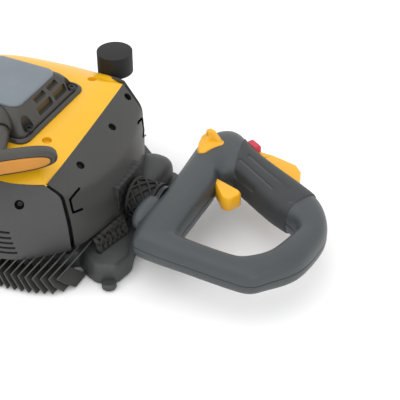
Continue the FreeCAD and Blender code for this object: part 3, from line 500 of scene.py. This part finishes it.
INN = rect_ring(-58.0, 54.0, 58.0, 127.0, 5.0)
YT = TOPR.copy()
Y0 = YT + 0.0
lv = []
K = 26
for k in range(K + 1):
    s = k / K
    A = Y0 * (1 - s) + INN * s
    rise = (127.2 - Y0[:, 2]) * (1 - (1 - s) ** 2.4)
    A[:, 2] = Y0[:, 2] + rise + 1.6 * math.sin(math.pi * s) * 0.6
    lv.append(A)
YG = np.array(lv)
# scoop towards the far rear corner
p0, p1 = np.array([50.0, 86.0]), np.array([92.0, 104.0])
d = (p1 - p0) / np.linalg.norm(p1 - p0)
rel = YG[..., :2] - p0
al = rel @ d
ac = rel @ np.array([-d[1], d[0]])
dep = 5.5 * np.exp(-((ac - 1.0) / 7.0) ** 2) * np.clip((al - 2.0) / 16.0, 0, 1)
YG[..., 2] -= dep * (YG[..., 1] > 0)
near_f = np.clip(((YG[..., 0] - YG[..., 1]) - 160.0) / 22.0, 0, 1)
YG[..., 2] -= 2.2 * near_f
down = Y0.copy()
down[:, 2] -= 1.0
top = make("yellow_cover", YG.reshape(-1, 3), grid_faces(K + 1, TOTAL, wrap_u=True), YELLOW)
me = top.data
if sum(p.normal.z for p in me.polygons) < 0:
    me.flip_normals()
solidify(top, 2.6)
apply_mods(top)
BVY = BVHTree.FromPolygons([tuple(p) for p in YG.reshape(-1, 3)], grid_faces(K + 1, TOTAL, wrap_u=True))


def on_yellow(p):
    loc, nor, _, _ = BVY.find_nearest(Vector(p))
    n = np.array(nor)
    return np.array(loc), n * (1 if n[2] > 0 else -1)


ydim = [on_yellow(p) for p in ((71.5, -40.5, 128.0), (54.5, 79.5, 127.0), (-72.0, -62.0, 126.0), (-72.0, 62.0, 126.0))]
cut_with(top, [cylinder_cut(c, n, 5.2, 7.0) for c, n in ydim])
bevel(top, 0.8, 2, 42)
put(top, "chassis", ("top_cover",))
V, F = join_parts([lathe([(5.22, -0.5), (5.0, -4.4), (0.05, -4.8)], c, n, 32) for c, n in ydim])
put(make("yellow_cups", V, F, YELLOW), "chassis", ())
for c, n in ydim:
    pass
V, F = join_parts(screws)
put(make("cowl_screw_heads", V, F, DARKST), "chassis", ("casing_screws",))

# ------------------------------------------------------------------ rear handle skins
ST = [((63, 25), (109, 25), 21), ((63, 50), (109, 45), 21), ((65, 90), (110, 72), 21), ((69, 130), (112, 84), 21), ((76, 158), (115, 90), 21.5),
      ((90, 168), (119, 92.5), 21.5), ((105, 164), (124, 93), 21.5), ((118, 153), (130, 91.5), 21.5), ((135, 140.3), (138, 87.5), 21.5), ((165, 122.5), (152, 79), 21),
      ((200, 101.7), (182, 61), 20.5), ((222, 86), (205, 47), 20), ((238, 65), (214, 38.5), 19.5), ((246, 45), (217, 32), 19), ((247, 25), (215, 23), 19),
      ((243, 0), (207, 0), 18.5), ((235, -18), (200, -12), 18), ((226, -37), (192, -19), 17), ((212, -52), (183, -23), 16), ((190, -54), (170, -24), 16),
      ((150, -53), (150, -23.5), 16), ((115, -52), (126, -22.5), 16.5), ((92, -50.5), (114, -21), 17.5), ((74, -47), (110, -16), 19), ((64, -32), (109, -5), 20), ((62, -5), (109, 10), 21)]
def nudge(x, y, inner):
    dx = dy = 0.0
    if (x <= 80 and not inner) or (inner and x <= 128 and y < 80):
        dx += (7.0 if inner else 10.0) * min(1.0, max(0.0, (130.0 - y) / 70.0))
    if x > 180:
        w = min(1.0, (x - 180.0) / 30.0)
        dx += 4.5 * w
        dy += 5.0 * w if y > 0 else 0.0
    if y < -35:
        dx -= 6.0
        dy += 1.0
    if y > 135 and not inner:
        dx += 1.0
        dy -= 3.0
    return (x + dx, y + dy)


ST = [(nudge(*o, False), nudge(*i, True), h) for o, i, h in ST]
OO = catmull([(o[0] + 106, o[1] - 25, h) for o, i, h in ST], 364, closed=True)
II = catmull([(i[0] + 106, i[1] - 25, h) for o, i, h in ST], 364, closed=True)
OO = gauss(OO, 3.0, True, 0)
II = gauss(II, 3.0, True, 0)
HZ = 52.0
NEXP = 2.7


def section(k, phis, grow=0.0, n=NEXP):
    o, i = OO[k], II[k]
    c = (o[:2] + i[:2]) / 2
    dv = (o[:2] - i[:2]) / 2
    w = np.linalg.norm(dv)
    dv = dv / w
    w, h = w + grow, o[2] + grow
    pts = []
    for f in phis:
        cx = math.copysign(abs(math.cos(f)) ** (2 / n), math.cos(f))
        cz = math.copysign(abs(math.sin(f)) ** (2 / n), math.sin(f))
        pts.append((c[0] + dv[0] * w * cx, c[1] + dv[1] * w * cx, HZ + h * cz))
    return pts


def half(name, sgn, mat, nodes_):
    ph = list(np.linspace(0.02, math.pi - 0.02, 46))
    V, m = [], len(ph) + 4
    for k in range(len(OO)):
        s = section(k, [sgn * f for f in ph])
        o, i = OO[k], II[k]
        c = (o[:2] + i[:2]) / 2
        a, b = np.array(s[0]), np.array(s[-1])

        def inward(p, q, zz):
            v = np.array([c[0] - p[0], c[1] - p[1], 0.0])
            v /= np.linalg.norm(v)
            r = p + v * q
            r[2] = HZ + sgn * zz
            return tuple(r)

        row = [inward(a, 2.2, 0.12), inward(a, 0.5, 0.30)] + s + [inward(b, 0.5, 0.30), inward(b, 2.2, 0.12)]
        V += row
    F = grid_faces(len(OO), m, wrap_v=True)
    ob = make(name, V, F, mat, 50)
    put(ob, "rear_handle", nodes_)
    return ob


half("handle_upper", 1, HANDLE, ("handle_shell_upper",))
half("handle_lower", -1, HANDLE, ("handle_shell_lower",))

# rubber sleeve over the straight grip, with its carved lines
k0 = int(364 * 6.55 / 26)
k1 = int(364 * 10.95 / 26)
SL = catmull([tuple(OO[k]) + tuple(II[k]) for k in range(k0, k1 + 1, 3)], 130)
GRV = [((239.0, 62.0), (246.0, 84.0)), ((240.0, 62.0), (262.0, 70.0))]


def sleeve_mesh(lines):
    nph = 150
    ph = np.linspace(0, 2 * math.pi, nph, endpoint=False)
    V = []
    R = len(SL)
    for k in range(R):
        o, i, hh = SL[k][:2], SL[k][3:5], SL[k][2]
        c = (o + i) / 2
        dv = (o - i) / 2
        w = np.linalg.norm(dv)
        dv = dv / w
        e = min(k, R - 1 - k)
        gr = 1.3 - 1.2 * max(0.0, 1 - e / 3.0) ** 2
        for f in ph:
            cx = math.copysign(abs(math.cos(f)) ** (2 / NEXP), math.cos(f))
            cz = math.copysign(abs(math.sin(f)) ** (2 / NEXP), math.sin(f))
            x, y, z = c[0] + dv[0] * (w + gr) * cx, c[1] + dv[1] * (w + gr) * cx, HZ + (hh + gr) * cz
            if z > HZ + 4:
                g = 0.0
                for (ax, ay), (bx, by), wd, dp in lines:
                    A, B = np.array([ax, ay]), np.array([bx, by])
                    t = np.clip(((x - ax) * (bx - ax) + (y - ay) * (by - ay)) / ((B - A) @ (B - A)), 0, 1)
                    q = A + (B - A) * t
                    dd = math.hypot(x - q[0], y - q[1])
                    g = max(g, dp * math.exp(-(dd / wd) ** 2))
                z -= g
            V.append((x, y, z))
    F = grid_faces(R, nph, wrap_u=True)
    return V, F


LINES = [
    ((232.1, 69.3), (263.3, 51.7), 1.2, 3.4),
    ((233.5, 81.9), (283.6, 52.2), 1.2, 3.6),
    ((240.0, 91.1), (300.8, 56.8), 1.2, 3.6),
    ((250.0, 55.0), (268.0, 39.0), 3.2, 1.5),
    ((268.0, 39.0), (288.0, 33.0), 3.6, 1.7),
    ((288.0, 33.0), (311.0, 41.0), 3.4, 1.5),
]
V, F = sleeve_mesh(LINES)
sl = make("grip_rubber", V, F, SLEEVE, 60)
put(sl, "rear_handle", ("grip_sleeve",))


# ------------------------------------------------------------------ starter cover and its panel
def rrect(x0, x1, y0, y1, z, r, n=10):
    out = []
    for cx, cy, a0 in ((x1 - r, y0 + r, -90), (x1 - r, y1 - r, 0), (x0 + r, y1 - r, 90), (x0 + r, y0 + r, 180)):
        for k in range(n + 1):
            t = math.radians(a0 + 90.0 * k / n)
            out.append((cx + r * math.cos(t), cy + r * math.sin(t), z))
    # extra points along the straight runs
    full = []
    m = len(out)
    for k in range(m):
        a, b = np.array(out[k]), np.array(out[(k + 1) % m])
        full.append(tuple(a))
        if (k + 1) % (n + 1) == 0:
            for j in range(1, 9):
                full.append(tuple(a + (b - a) * j / 9.0))
    return full


def stack(rings, cap=True):
    V = [p for r in rings for p in r]
    m = len(rings[0])
    F = grid_faces(len(rings), m, wrap_u=True)
    if cap:
        F.append(tuple(range(m))[::-1])
        F.append(tuple(range((len(rings) - 1) * m, len(rings) * m)))
    return V, F


def inset(d, z, r):
    return rrect(-61.0 + d, 57.5 - d, -60.5 + d, 60.5 - d, z, max(1.5, r - d * 0.55))


dome = [inset(1.2, 121.5, 12), inset(0.0, 122.6, 12), inset(0.0, 129.2, 12), inset(1.4, 131.0, 12), inset(3.2, 131.4, 12),
        inset(3.9, 129.4, 12), inset(5.4, 129.4, 12), inset(5.8, 131.6, 12), inset(7.0, 134.0, 12)]
for k in range(1, 9):
    t = k / 8.0
    dd = 7.0 + 11.0 * t + 2.6 * math.sin(t * math.pi / 2) ** 4
    dome.append(inset(dd, 134.0 + 19.0 * math.sin(t * 1.32) / math.sin(1.32), 14 + 4 * t))
dome.append(inset(22.5, 154.4, 19))
V, F = stack(dome)
cov = make("starter_dome", V, F, COVER, 44)


def box_cutter(x0, x1, y0, y1, z0, z1, bev=1.3):
    V = [(x, y, z) for x in (x0, x1) for y in (y0, y1) for z in (z0, z1)]
    F = [(0, 1, 3, 2), (4, 6, 7, 5), (0, 4, 5, 1), (2, 3, 7, 6), (0, 2, 6, 4), (1, 5, 7, 3)]
    o = make("c", V, F, BLACK)
    m = o.modifiers.new("b", "BEVEL")
    m.width = bev * MM
    m.segments = 3
    apply_mods(o)
    return o


SLOTS = [(-17, 9, 135.8, 144.2), (13.5, 36.5, 135.8, 144.2), (-13, 6.5, 146.8, 151.6), (12, 29.5, 146.8, 151.6)]
cutters = [box_cutter(43.0 if z0 < 140 else 36.5, 70, y0, y1, z0, z1) for y0, y1, z0, z1 in SLOTS]
cutters += [box_cutter(-75, -46.0 if z0 < 140 else -39.5, y0, y1, z0, z1) for y0, y1, z0, z1 in SLOTS]
pockets = [(50.5, -39.5), (49.5, 45.5), (-53.0, -44.0), (-53.0, 44.0)]
for px_, py_ in pockets:
    cutters.append(cylinder_cut((px_, py_, 160.0), (0, 0, 1), 7.6, 26.5, 4.0))
cut_with(cov, cutters)
bevel(cov, 0.9, 3, 44)
put(cov, "chassis", ("starter_cover",))
plates = []
for sx in (1, -1):
    for y0, y1, z0, z1 in SLOTS:
        xb = (44.2 if z0 < 140 else 37.6)
        x = xb if sx > 0 else -xb - 3.2
        V = [(x, y0 - 0.5, z0 - 0.5), (x, y1 + 0.5, z0 - 0.5), (x, y1 + 0.5, z1 + 0.5), (x, y0 - 0.5, z1 + 0.5)]
        V += [(x - sx * 1.5, b_, c_) for a_, b_, c_ in V]
        plates.append((V, [(0, 1, 2, 3), (7, 6, 5, 4), (0, 4, 5, 1), (1, 5, 6, 2), (2, 6, 7, 3), (3, 7, 4, 0)]))
V, F = join_parts(plates)
put(make("starter_mesh", V, F, GOLD), "chassis")
heads = []
for px_, py_ in pockets:
    heads.append(lathe([(0.05, 0.4), (1.6, 0.4), (1.9, 2.2), (3.6, 2.4), (4.4, 1.6), (4.6, 0.0)], (px_, py_, 133.6), (0, 0, 1), 26))
V, F = join_parts(heads)
put(make("starter_screws", V, F, DARKST), "chassis")


def panel_ring(d, z):
    return rrect(-41.0 + d, 37.0 - d, -39.0 + d, 39.0 - d, z, 11.0 - d * 0.6)


V, F = stack([panel_ring(0.8, 152.5), panel_ring(0.0, 153.4), panel_ring(0.0, 155.4), panel_ring(0.5, 156.2), panel_ring(1.6, 156.9), panel_ring(6.0, 157.3), panel_ring(16.0, 157.7)])
put(make("starter_panel", V, F, PANEL, 50), "chassis", ("cover_panel",))

# boot where the rope leaves, stem and pull bar
V, F = tube([(4, -24, 137), (10, -32, 138), (16, -41, 138.5), (22, -49, 139), (26, -55, 139), (29, -59.5, 139), (30, -61, 139)], [13, 15.5, 15.5, 14.5, 13.0, 11.6, 10.2], 36)
put(make("rope_boot", V, F, COVER), "chassis", ("rope_guide",))
LD = np.array([0.76, 0.65, 0.0])
LD /= np.linalg.norm(LD)
TD = np.array([LD[1], -LD[0], 0.0])
GC = np.array([58.0, -108.0, 139.0])
ft = GC - TD * 8.0
st0 = np.array([31.5, -62.5, 139.0])
pts = [st0 + (ft - st0) * t for t in np.linspace(0, 1, 9)]
sv, sf = tube(pts, [8.6, 9.2, 9.2, 9.1, 9.0, 9.0, 9.4, 10.4, 11.5], 28)


def oval(hl, hh, off, e1=3.4, e2=2.5, n=96):
    out = []
    for k in range(n):
        t = 2 * math.pi * k / n
        c, d_ = math.cos(t), math.sin(t)
        out.append(tuple(GC + LD * (hl * math.copysign(abs(c) ** (2 / e1), c)) + TD * off + np.array([0, 0, hh * math.copysign(abs(d_) ** (2 / e2), d_)])))
    return out


HL, HH = 59.0, 11.6
bar = [oval(HL - 9, HH - 5.5, -9.2), oval(HL - 4.2, HH - 2.6, -8.6), oval(HL - 1.4, HH - 0.8, -6.4), oval(HL, HH, -3.0), oval(HL, HH, 3.0), oval(HL - 1.0, HH - 0.6, 6.2), oval(HL - 3.4, HH - 2.0, 8.2),
       oval(HL - 5.6, HH - 3.0, 8.8), oval(HL - 6.6, HH - 3.4, 8.2)]
V, F = join_parts([stack(bar), (sv, sf)])
put(make("pull_bar", V, F, COVER, 55), "pull_grip", ("starter_grip",))
# black band round the amber pad: painted shade of the groove between pad and bar
V, F = stack([oval(HL - 6.6, HH - 3.3, 6.0), oval(HL - 6.6, HH - 3.3, 8.5), oval(HL - 7.6, HH - 4.0, 8.6)])
put(make("pull_groove", V, F, BLACK), "pull_grip")
V, F = stack([oval(HL - 7.8, HH - 4.1, 6.0), oval(HL - 7.8, HH - 4.1, 8.9), oval(HL - 8.4, HH - 4.5, 9.8), oval(HL - 10.0, HH - 5.5, 10.3), oval(HL - 16.0, HH - 7.0, 10.5)])
put(make("pull_pad", V, F, AMBER, 60), "pull_grip", ("grip_insert",))

# ------------------------------------------------------------------ base skirt and its fins
def poly_round(pts, r, n=6):
    out = []
    m = len(pts)
    for k in range(m):
        p, a, b = (np.array(pts[(k + j) % m], float) for j in (0, -1, 1))
        u, v = a - p, b - p
        lu, lv_ = np.linalg.norm(u), np.linalg.norm(v)
        u, v = u / lu, v / lv_
        rr = min(r, lu * 0.45, lv_ * 0.45)
        for j in range(n + 1):
            t = j / n
            q = (1 - t) ** 2 * (p + u * rr) + 2 * (1 - t) * t * p + t * t * (p + v * rr)
            out.append(tuple(q))
    return out


near_in = [(166, -36), (174, -58), (169, -82), (150, -90), (134, -84), (121, -74), (112, -88), (98, -102), (78, -112), (40, -116), (-48, -116), (-92, -100), (-106, -76), (-106, -60)]
outl = near_in + [(90, -56), (90, 56)] + [(x, -y) for x, y in reversed(near_in)]
pr_ = poly_round(outl, 6.0)


def shrink(P, d):
    P = np.array(P)
    m = len(P)
    nx = np.roll(P, -1, 0) - np.roll(P, 1, 0)
    nrm = np.stack([nx[:, 1], -nx[:, 0]], 1)
    nrm /= np.linalg.norm(nrm, axis=1)[:, None] + 1e-9
    area_ = 0.5 * np.sum(P[:, 0] * np.roll(P[:, 1], -1) - np.roll(P[:, 0], -1) * P[:, 1])
    if area_ < 0:
        nrm = -nrm
    return P - nrm * d


def at_z(P, z):
    return [(q[0], q[1], z) for q in P]


V, F = stack([at_z(shrink(pr_, 1.5), 0.4), at_z(shrink(pr_, 0.0), 2.0), at_z(shrink(pr_, 0.0), 19.0), at_z(shrink(pr_, 0.8), 22.6), at_z(shrink(pr_, 2.6), 25.0), at_z(shrink(pr_, 4.0), 25.6)])
skirt = make("skirt_skin", V, F, BASE, 30)
put(skirt, "chassis", ("base_skirt",))
tabs = []
for sy in (-1, 1):
    tabs.append(lathe([(0.05, 0.0), (6.6, 0.0), (7.8, 1.2), (7.8, 6.4), (6.6, 7.6), (0.05, 7.6)], (164.0, sy * 88.0, 0.6), (0, 0, 1), 28))
V, F = join_parts(tabs)
put(make("skirt_tabs", V, F, BASE), "chassis")

FINPATH = [(131, -70), (135, -86), (133, -103), (121, -119), (98, -129), (70, -134), (30, -136), (-10, -136), (-50, -134)]
fp = catmull(FINPATH, 400)
seg = np.concatenate([[0], np.cumsum(np.linalg.norm(np.diff(fp, axis=0), axis=1))])


def path_at(sv_):
    sv_ = min(max(sv_, 0.0), seg[-1])
    x = np.interp(sv_, seg, fp[:, 0])
    y = np.interp(sv_, seg, fp[:, 1])
    a_ = np.array([np.interp(min(sv_ + 1, seg[-1]), seg, fp[:, k]) - np.interp(max(sv_ - 1, 0), seg, fp[:, k]) for k in (0, 1)])
    a_ /= np.linalg.norm(a_)
    nrm = np.array([-a_[1], a_[0]])
    if nrm @ (np.array([x, y]) - np.array([40.0, 0.0])) < 0:
        nrm = -nrm
    return np.array([x, y]), a_, nrm


def fins_side(sy):
    """Comb of folded plates whose outer ends follow the rounded corner."""
    parts = []
    gx = [-70, -50, -10, 30, 70, 98, 121, 133, 137, 140]
    gy = [130, 134, 136, 136, 134, 129, 119, 103, 88, 74]
    x = -56.0
    while x < 124.0:
        if not (sy > 0 and x > 84.0):
            V = []
            for z, dx, off in ((37.0, 13.0, -7.0), (28.0, 6.5, -3.0), (19.0, 0.0, 0.0), (11.0, 6.0, 2.5), (2.5, 12.5, 4.5)):
                yo = float(np.interp(x + dx, gx, gy)) + off
                for y in (yo - 24.0, yo):
                    for th in (-1.0, 1.0):
                        V.append((x + dx + th, sy * y, z))
            F = []
            for L_ in range(4):
                b0, b1 = 4 * L_, 4 * L_ + 4
                F += [(b0, b0 + 1, b1 + 1, b1), (b0 + 3, b0 + 2, b1 + 2, b1 + 3), (b0 + 1, b0 + 3, b1 + 3, b1 + 1), (b0 + 2, b0, b1, b1 + 2)]
            F += [(0, 2, 3, 1), (16, 17, 19, 18)]
            parts.append((V, F))
        x += 7.7
    return join_parts(parts)


V, F = fins_side(-1)
f1 = make("fins_near", V, F, FIN, 20)
bevel(f1, 0.5, 2, 25)
put(f1, "chassis", ("fin_guard_left",))
V, F = fins_side(1)
f2 = make("fins_far", V, F, FIN, 20)
bevel(f2, 0.5, 2, 25)
put(f2, "chassis", ("fin_guard_right",))

# ------------------------------------------------------------------ lever tips on the rear handle
def prism_loft(levels):
    return stack([[(x, y, z) for x, y in P] for P, z in levels])


relb = poly_round([(184, 78), (180, 90), (177, 106), (182, 114), (192, 111), (205, 104), (206, 98), (198, 88), (194, 76), (188, 73)], 4.0, 4)
relm = poly_round([(186, 79), (182, 91), (179, 104), (183, 111), (191, 109), (203, 102), (204, 98), (196, 88), (193, 78), (189, 75)], 4.0, 4)
V, F = prism_loft([(relb, 62.0), (relb, 73.2), (relm, 75.0)])
t0 = poly_round([(180, 96), (180, 104), (184, 110), (194, 108), (204, 102), (202, 98), (192, 98), (187, 92)], 2.5, 4)
t1 = poly_round([(184, 101.5), (182, 106), (185.5, 110), (195, 107), (201, 102), (197, 100), (192, 98.8), (187.5, 98.5)], 2.0, 4)
t2 = poly_round([(183.5, 100.5), (183.5, 105), (187, 107.5), (193, 105.5), (195.5, 102.5), (193, 101), (190, 100), (186, 99)], 1.6, 4)
V2, F2 = prism_loft([(t0, 70.0), (t0, 75.0), (t1, 78.5), (t2, 83.5), ([tuple(np.array(q) * 0.5 + np.array([188.5, 103.5]) * 0.5) for q in t2], 85.2)])
V, F = join_parts([(V, F), (V2, F2)])
rl = make("release_thumb", V, F, LEVER, 50)
put(rl, "release", ("release_lever",))
tg = [(208.6, 51.7), (210.2, 58.3), (216.2, 58.3), (248.7, 49.1), (252.9, 43.7), (245.7, 29.0), (236.4, 29.1), (219.2, 48.1), (212.9, 48.9)]
tgr = poly_round(tg, 4.0, 5)
V, F = prism_loft([(list(map(tuple, shrink(tgr, 1.6))), 42.5), (tgr, 44.5), (tgr, 58.0), (list(map(tuple, shrink(tgr, 1.6))), 60.2)])
put(make("trigger_blade", V, F, LEVER, 50), "trigger", ("throttle_trigger",))
sb = [(-8.5, -5.2), (8.5, -5.2), (8.5, 5.2), (-8.5, 5.2)]
ca, sa = math.cos(math.radians(-30)), math.sin(math.radians(-30))
sb = [(232.0 + x * ca - y * sa, 122.5 + x * sa + y * ca) for x, y in sb]
sbr = poly_round(sb, 3.0, 5)
V, F = prism_loft([(sbr, 48.0), (sbr, 65.5), (list(map(tuple, shrink(sbr, 1.5))), 67.5)])
put(make("stop_key", V, F, RED, 50), "stop", ("stop_button",))


def blob(c, r, e=2.6, n=28, m=18):
    V = []
    for i in range(m + 1):
        a_ = -math.pi / 2 + math.pi * i / m
        for j in range(n):
            b_ = 2 * math.pi * j / n
            sg = lambda v: math.copysign(abs(v) ** (2 / e), v)
            V.append((c[0] + r[0] * sg(math.cos(a_)) * sg(math.cos(b_)), c[1] + r[1] * sg(math.cos(a_)) * sg(math.sin(b_)), c[2] + r[2] * sg(math.sin(a_))))
    return V, grid_faces(m + 1, n, wrap_u=True)


lat = [lathe([(0.05, 0), (19.5, 0), (19.5, 29.0), (0.05, 29.0)], (148.5, 0, 52.0), (1, 0, 0), 40)]
for dirn in (-1, 1):
    for k in range(9):
        path = []
        for q in np.linspace(0, 1, 24):
            t = 2 * math.pi * (k / 9.0) + dirn * q * 1.5
            path.append((149.5 + 26.5 * q, 20.6 * math.cos(t), 52.0 + 20.6 * math.sin(t)))
        lat.append(tube(path, 1.5, 8))
for xx in (149.6, 176.4):
    lat.append(lathe([(18.0, -1.6), (22.2, -1.6), (22.6, 0.0), (22.2, 1.6), (18.0, 1.6)], (xx, 0, 52.0), (1, 0, 0), 44))
V, F = join_parts(lat)
put(make("collar_lattice", V, F, LATTICE, 50), "rear_handle", ("swivel_collar",))
V, F = blob((134.0, 60.0, 33.0), (22.0, 30.0, 18.0), 2.6)
put(make("swivel_shoulder", V, F, BASE), "chassis")
V, F = blob((177.5, -26.0, 60.0), (10.5, 25.0, 12.5), 2.3)
put(make("handle_tongue", V, F, HANDLE), "rear_handle")

# ------------------------------------------------------------------ pull rope
rp0, rp1 = np.array([20.0, -48.0, 139.0]), np.array([38.0, -72.0, 139.0])
V, F = tube([rp0 + (rp1 - rp0) * t for t in np.linspace(0, 1, 90)], 1.9, 12)
rope = make("pull_rope", V, F, ROPE)
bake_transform(rope)
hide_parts("starter_rope")


# ------------------------------------------------------------------ finishes of the CAD nodes
FIN_OF = {
    "gearcase": CAST, "gearcase_cover": CAST, "drive_bearing": STEEL, "drive_pinion": STEEL, "reduction_gear": STEEL, "blade_cams": STEEL,
    "blade_upper": STEEL, "blade_lower": STEEL, "guide_bar": STEEL, "blade_bolts": DARKST, "tip_guard": BASE, "base_skirt": BASE,
    "fin_guard_left": FIN, "fin_guard_right": FIN, "starter_cover": COVER, "cover_panel": PANEL, "rope_guide": COVER, "starter_grip": COVER,
    "grip_insert": AMBER, "starter_rope": ROPE, "fuel_tank": BASE, "engine_deck": BLACK, "casing_screws": DARKST, "swivel_mount": VENT2,
    "swivel_nut": DARKST, "vent_panels": VENT, "swivel_collar": VENT2, "throttle_trigger": LEVER, "lockout_lever": LEVER, "stop_button": RED,
    "release_lever": LEVER, "lever_pins": STEEL, "lever_springs": STEEL, "front_handle": HANDLE, "hand_guard": BASE, "fuel_cap": BLACK,
    "handle_screws": DARKST, "muffler": DARKST, "crankcase": CAST, "cylinder": CAST, "piston": CAST, "connecting_rod": STEEL, "crankshaft": STEEL,
    "clutch_shoes": DARKST, "clutch_drum": DARKST, "flywheel_fan": CAST, "starter_pulley": BASE, "recoil_spring": STEEL, "spark_plug": STEEL,
    "carburettor": CAST, "air_filter": BASE, "ignition_coil": BLACK,
}
BEV = {"base_skirt": 2.0, "starter_cover": 1.2, "cover_panel": 1.4, "starter_grip": 2.5, "grip_insert": 1.2, "rope_guide": 2.5, "throttle_trigger": 2.6, "lockout_lever": 3.0,
       "release_lever": 2.4, "stop_button": 1.2, "swivel_mount": 1.0, "swivel_collar": 1.6, "hand_guard": 1.2, "tip_guard": 1.5, "fuel_cap": 2.5, "fin_guard_left": 0.5,
       "fin_guard_right": 0.5, "vent_panels": 0.6}
for name, ob in N.items():
    if ob.hide_render:
        continue
    ob.data.materials.clear()
    ob.data.materials.append(FIN_OF.get(name, BASE))
    for p in ob.data.polygons:
        p.use_smooth = True
    if name in BEV:
        bevel(ob, BEV[name], 3, 40)
        w = ob.modifiers.new("weld", "WELD")
        w.merge_threshold = 0.00002
        ob.modifiers.move(len(ob.modifiers) - 1, 0)

# ------------------------------------------------------------------ floor, light, camera
bpy.ops.mesh.primitive_plane_add(size=12.0, location=(0, 0, -0.0005))
floor = bpy.context.object
fm = material("floor_white", (248, 248, 248), 0.9, bump=0.0, vary=0.003, spec=0.0)
floor.data.materials.append(fm)

world = bpy.data.worlds.new("w")
bpy.context.scene.world = world
world.use_nodes = True
world.node_tree.nodes["Background"].inputs["Color"].default_value = (1, 1, 1, 1)
world.node_tree.nodes["Background"].inputs["Strength"].default_value = 1.2


def area(name, loc, target, size, power):
    d = bpy.data.lights.new(name, "AREA")
    d.shape = "SQUARE"
    d.size = size
    d.energy = power
    o = bpy.data.objects.new(name, d)
    COLL.objects.link(o)
    o.location = loc
    v = Vector(target) - Vector(loc)
    o.rotation_euler = v.to_track_quat("-Z", "Y").to_euler()
    return o


area("key", (-0.5, -0.5, 1.9), (0.1, 0, 0), 2.6, 13.5)
area("fill", (1.4, -1.2, 1.0), (0.1, 0, 0.05), 1.2, 5.0)

cam = bpy.data.cameras.new("cam")
cam.lens = 99.0
cam.sensor_width = 36.0
cam.clip_start = 0.01
cam.clip_end = 50.0
co = bpy.data.objects.new("cam", cam)
COLL.objects.link(co)
a, e = math.radians(26.0), math.radians(39.0)
right = (math.cos(a), math.sin(a), 0.0)
up = (-math.sin(a) * math.sin(e), math.cos(a) * math.sin(e), math.cos(e))
back = (math.sin(a) * math.cos(e), -math.cos(a) * math.cos(e), math.sin(e))
M = Matrix.Identity(4)
for r in range(3):
    M[r][0], M[r][1], M[r][2] = right[r], up[r], back[r]
M[0][3], M[1][3], M[2][3] = 0.61085, -0.79022, 0.78584
co.matrix_world = M
bpy.context.scene.camera = co
bpy.context.scene.view_settings.view_transform = "Standard"
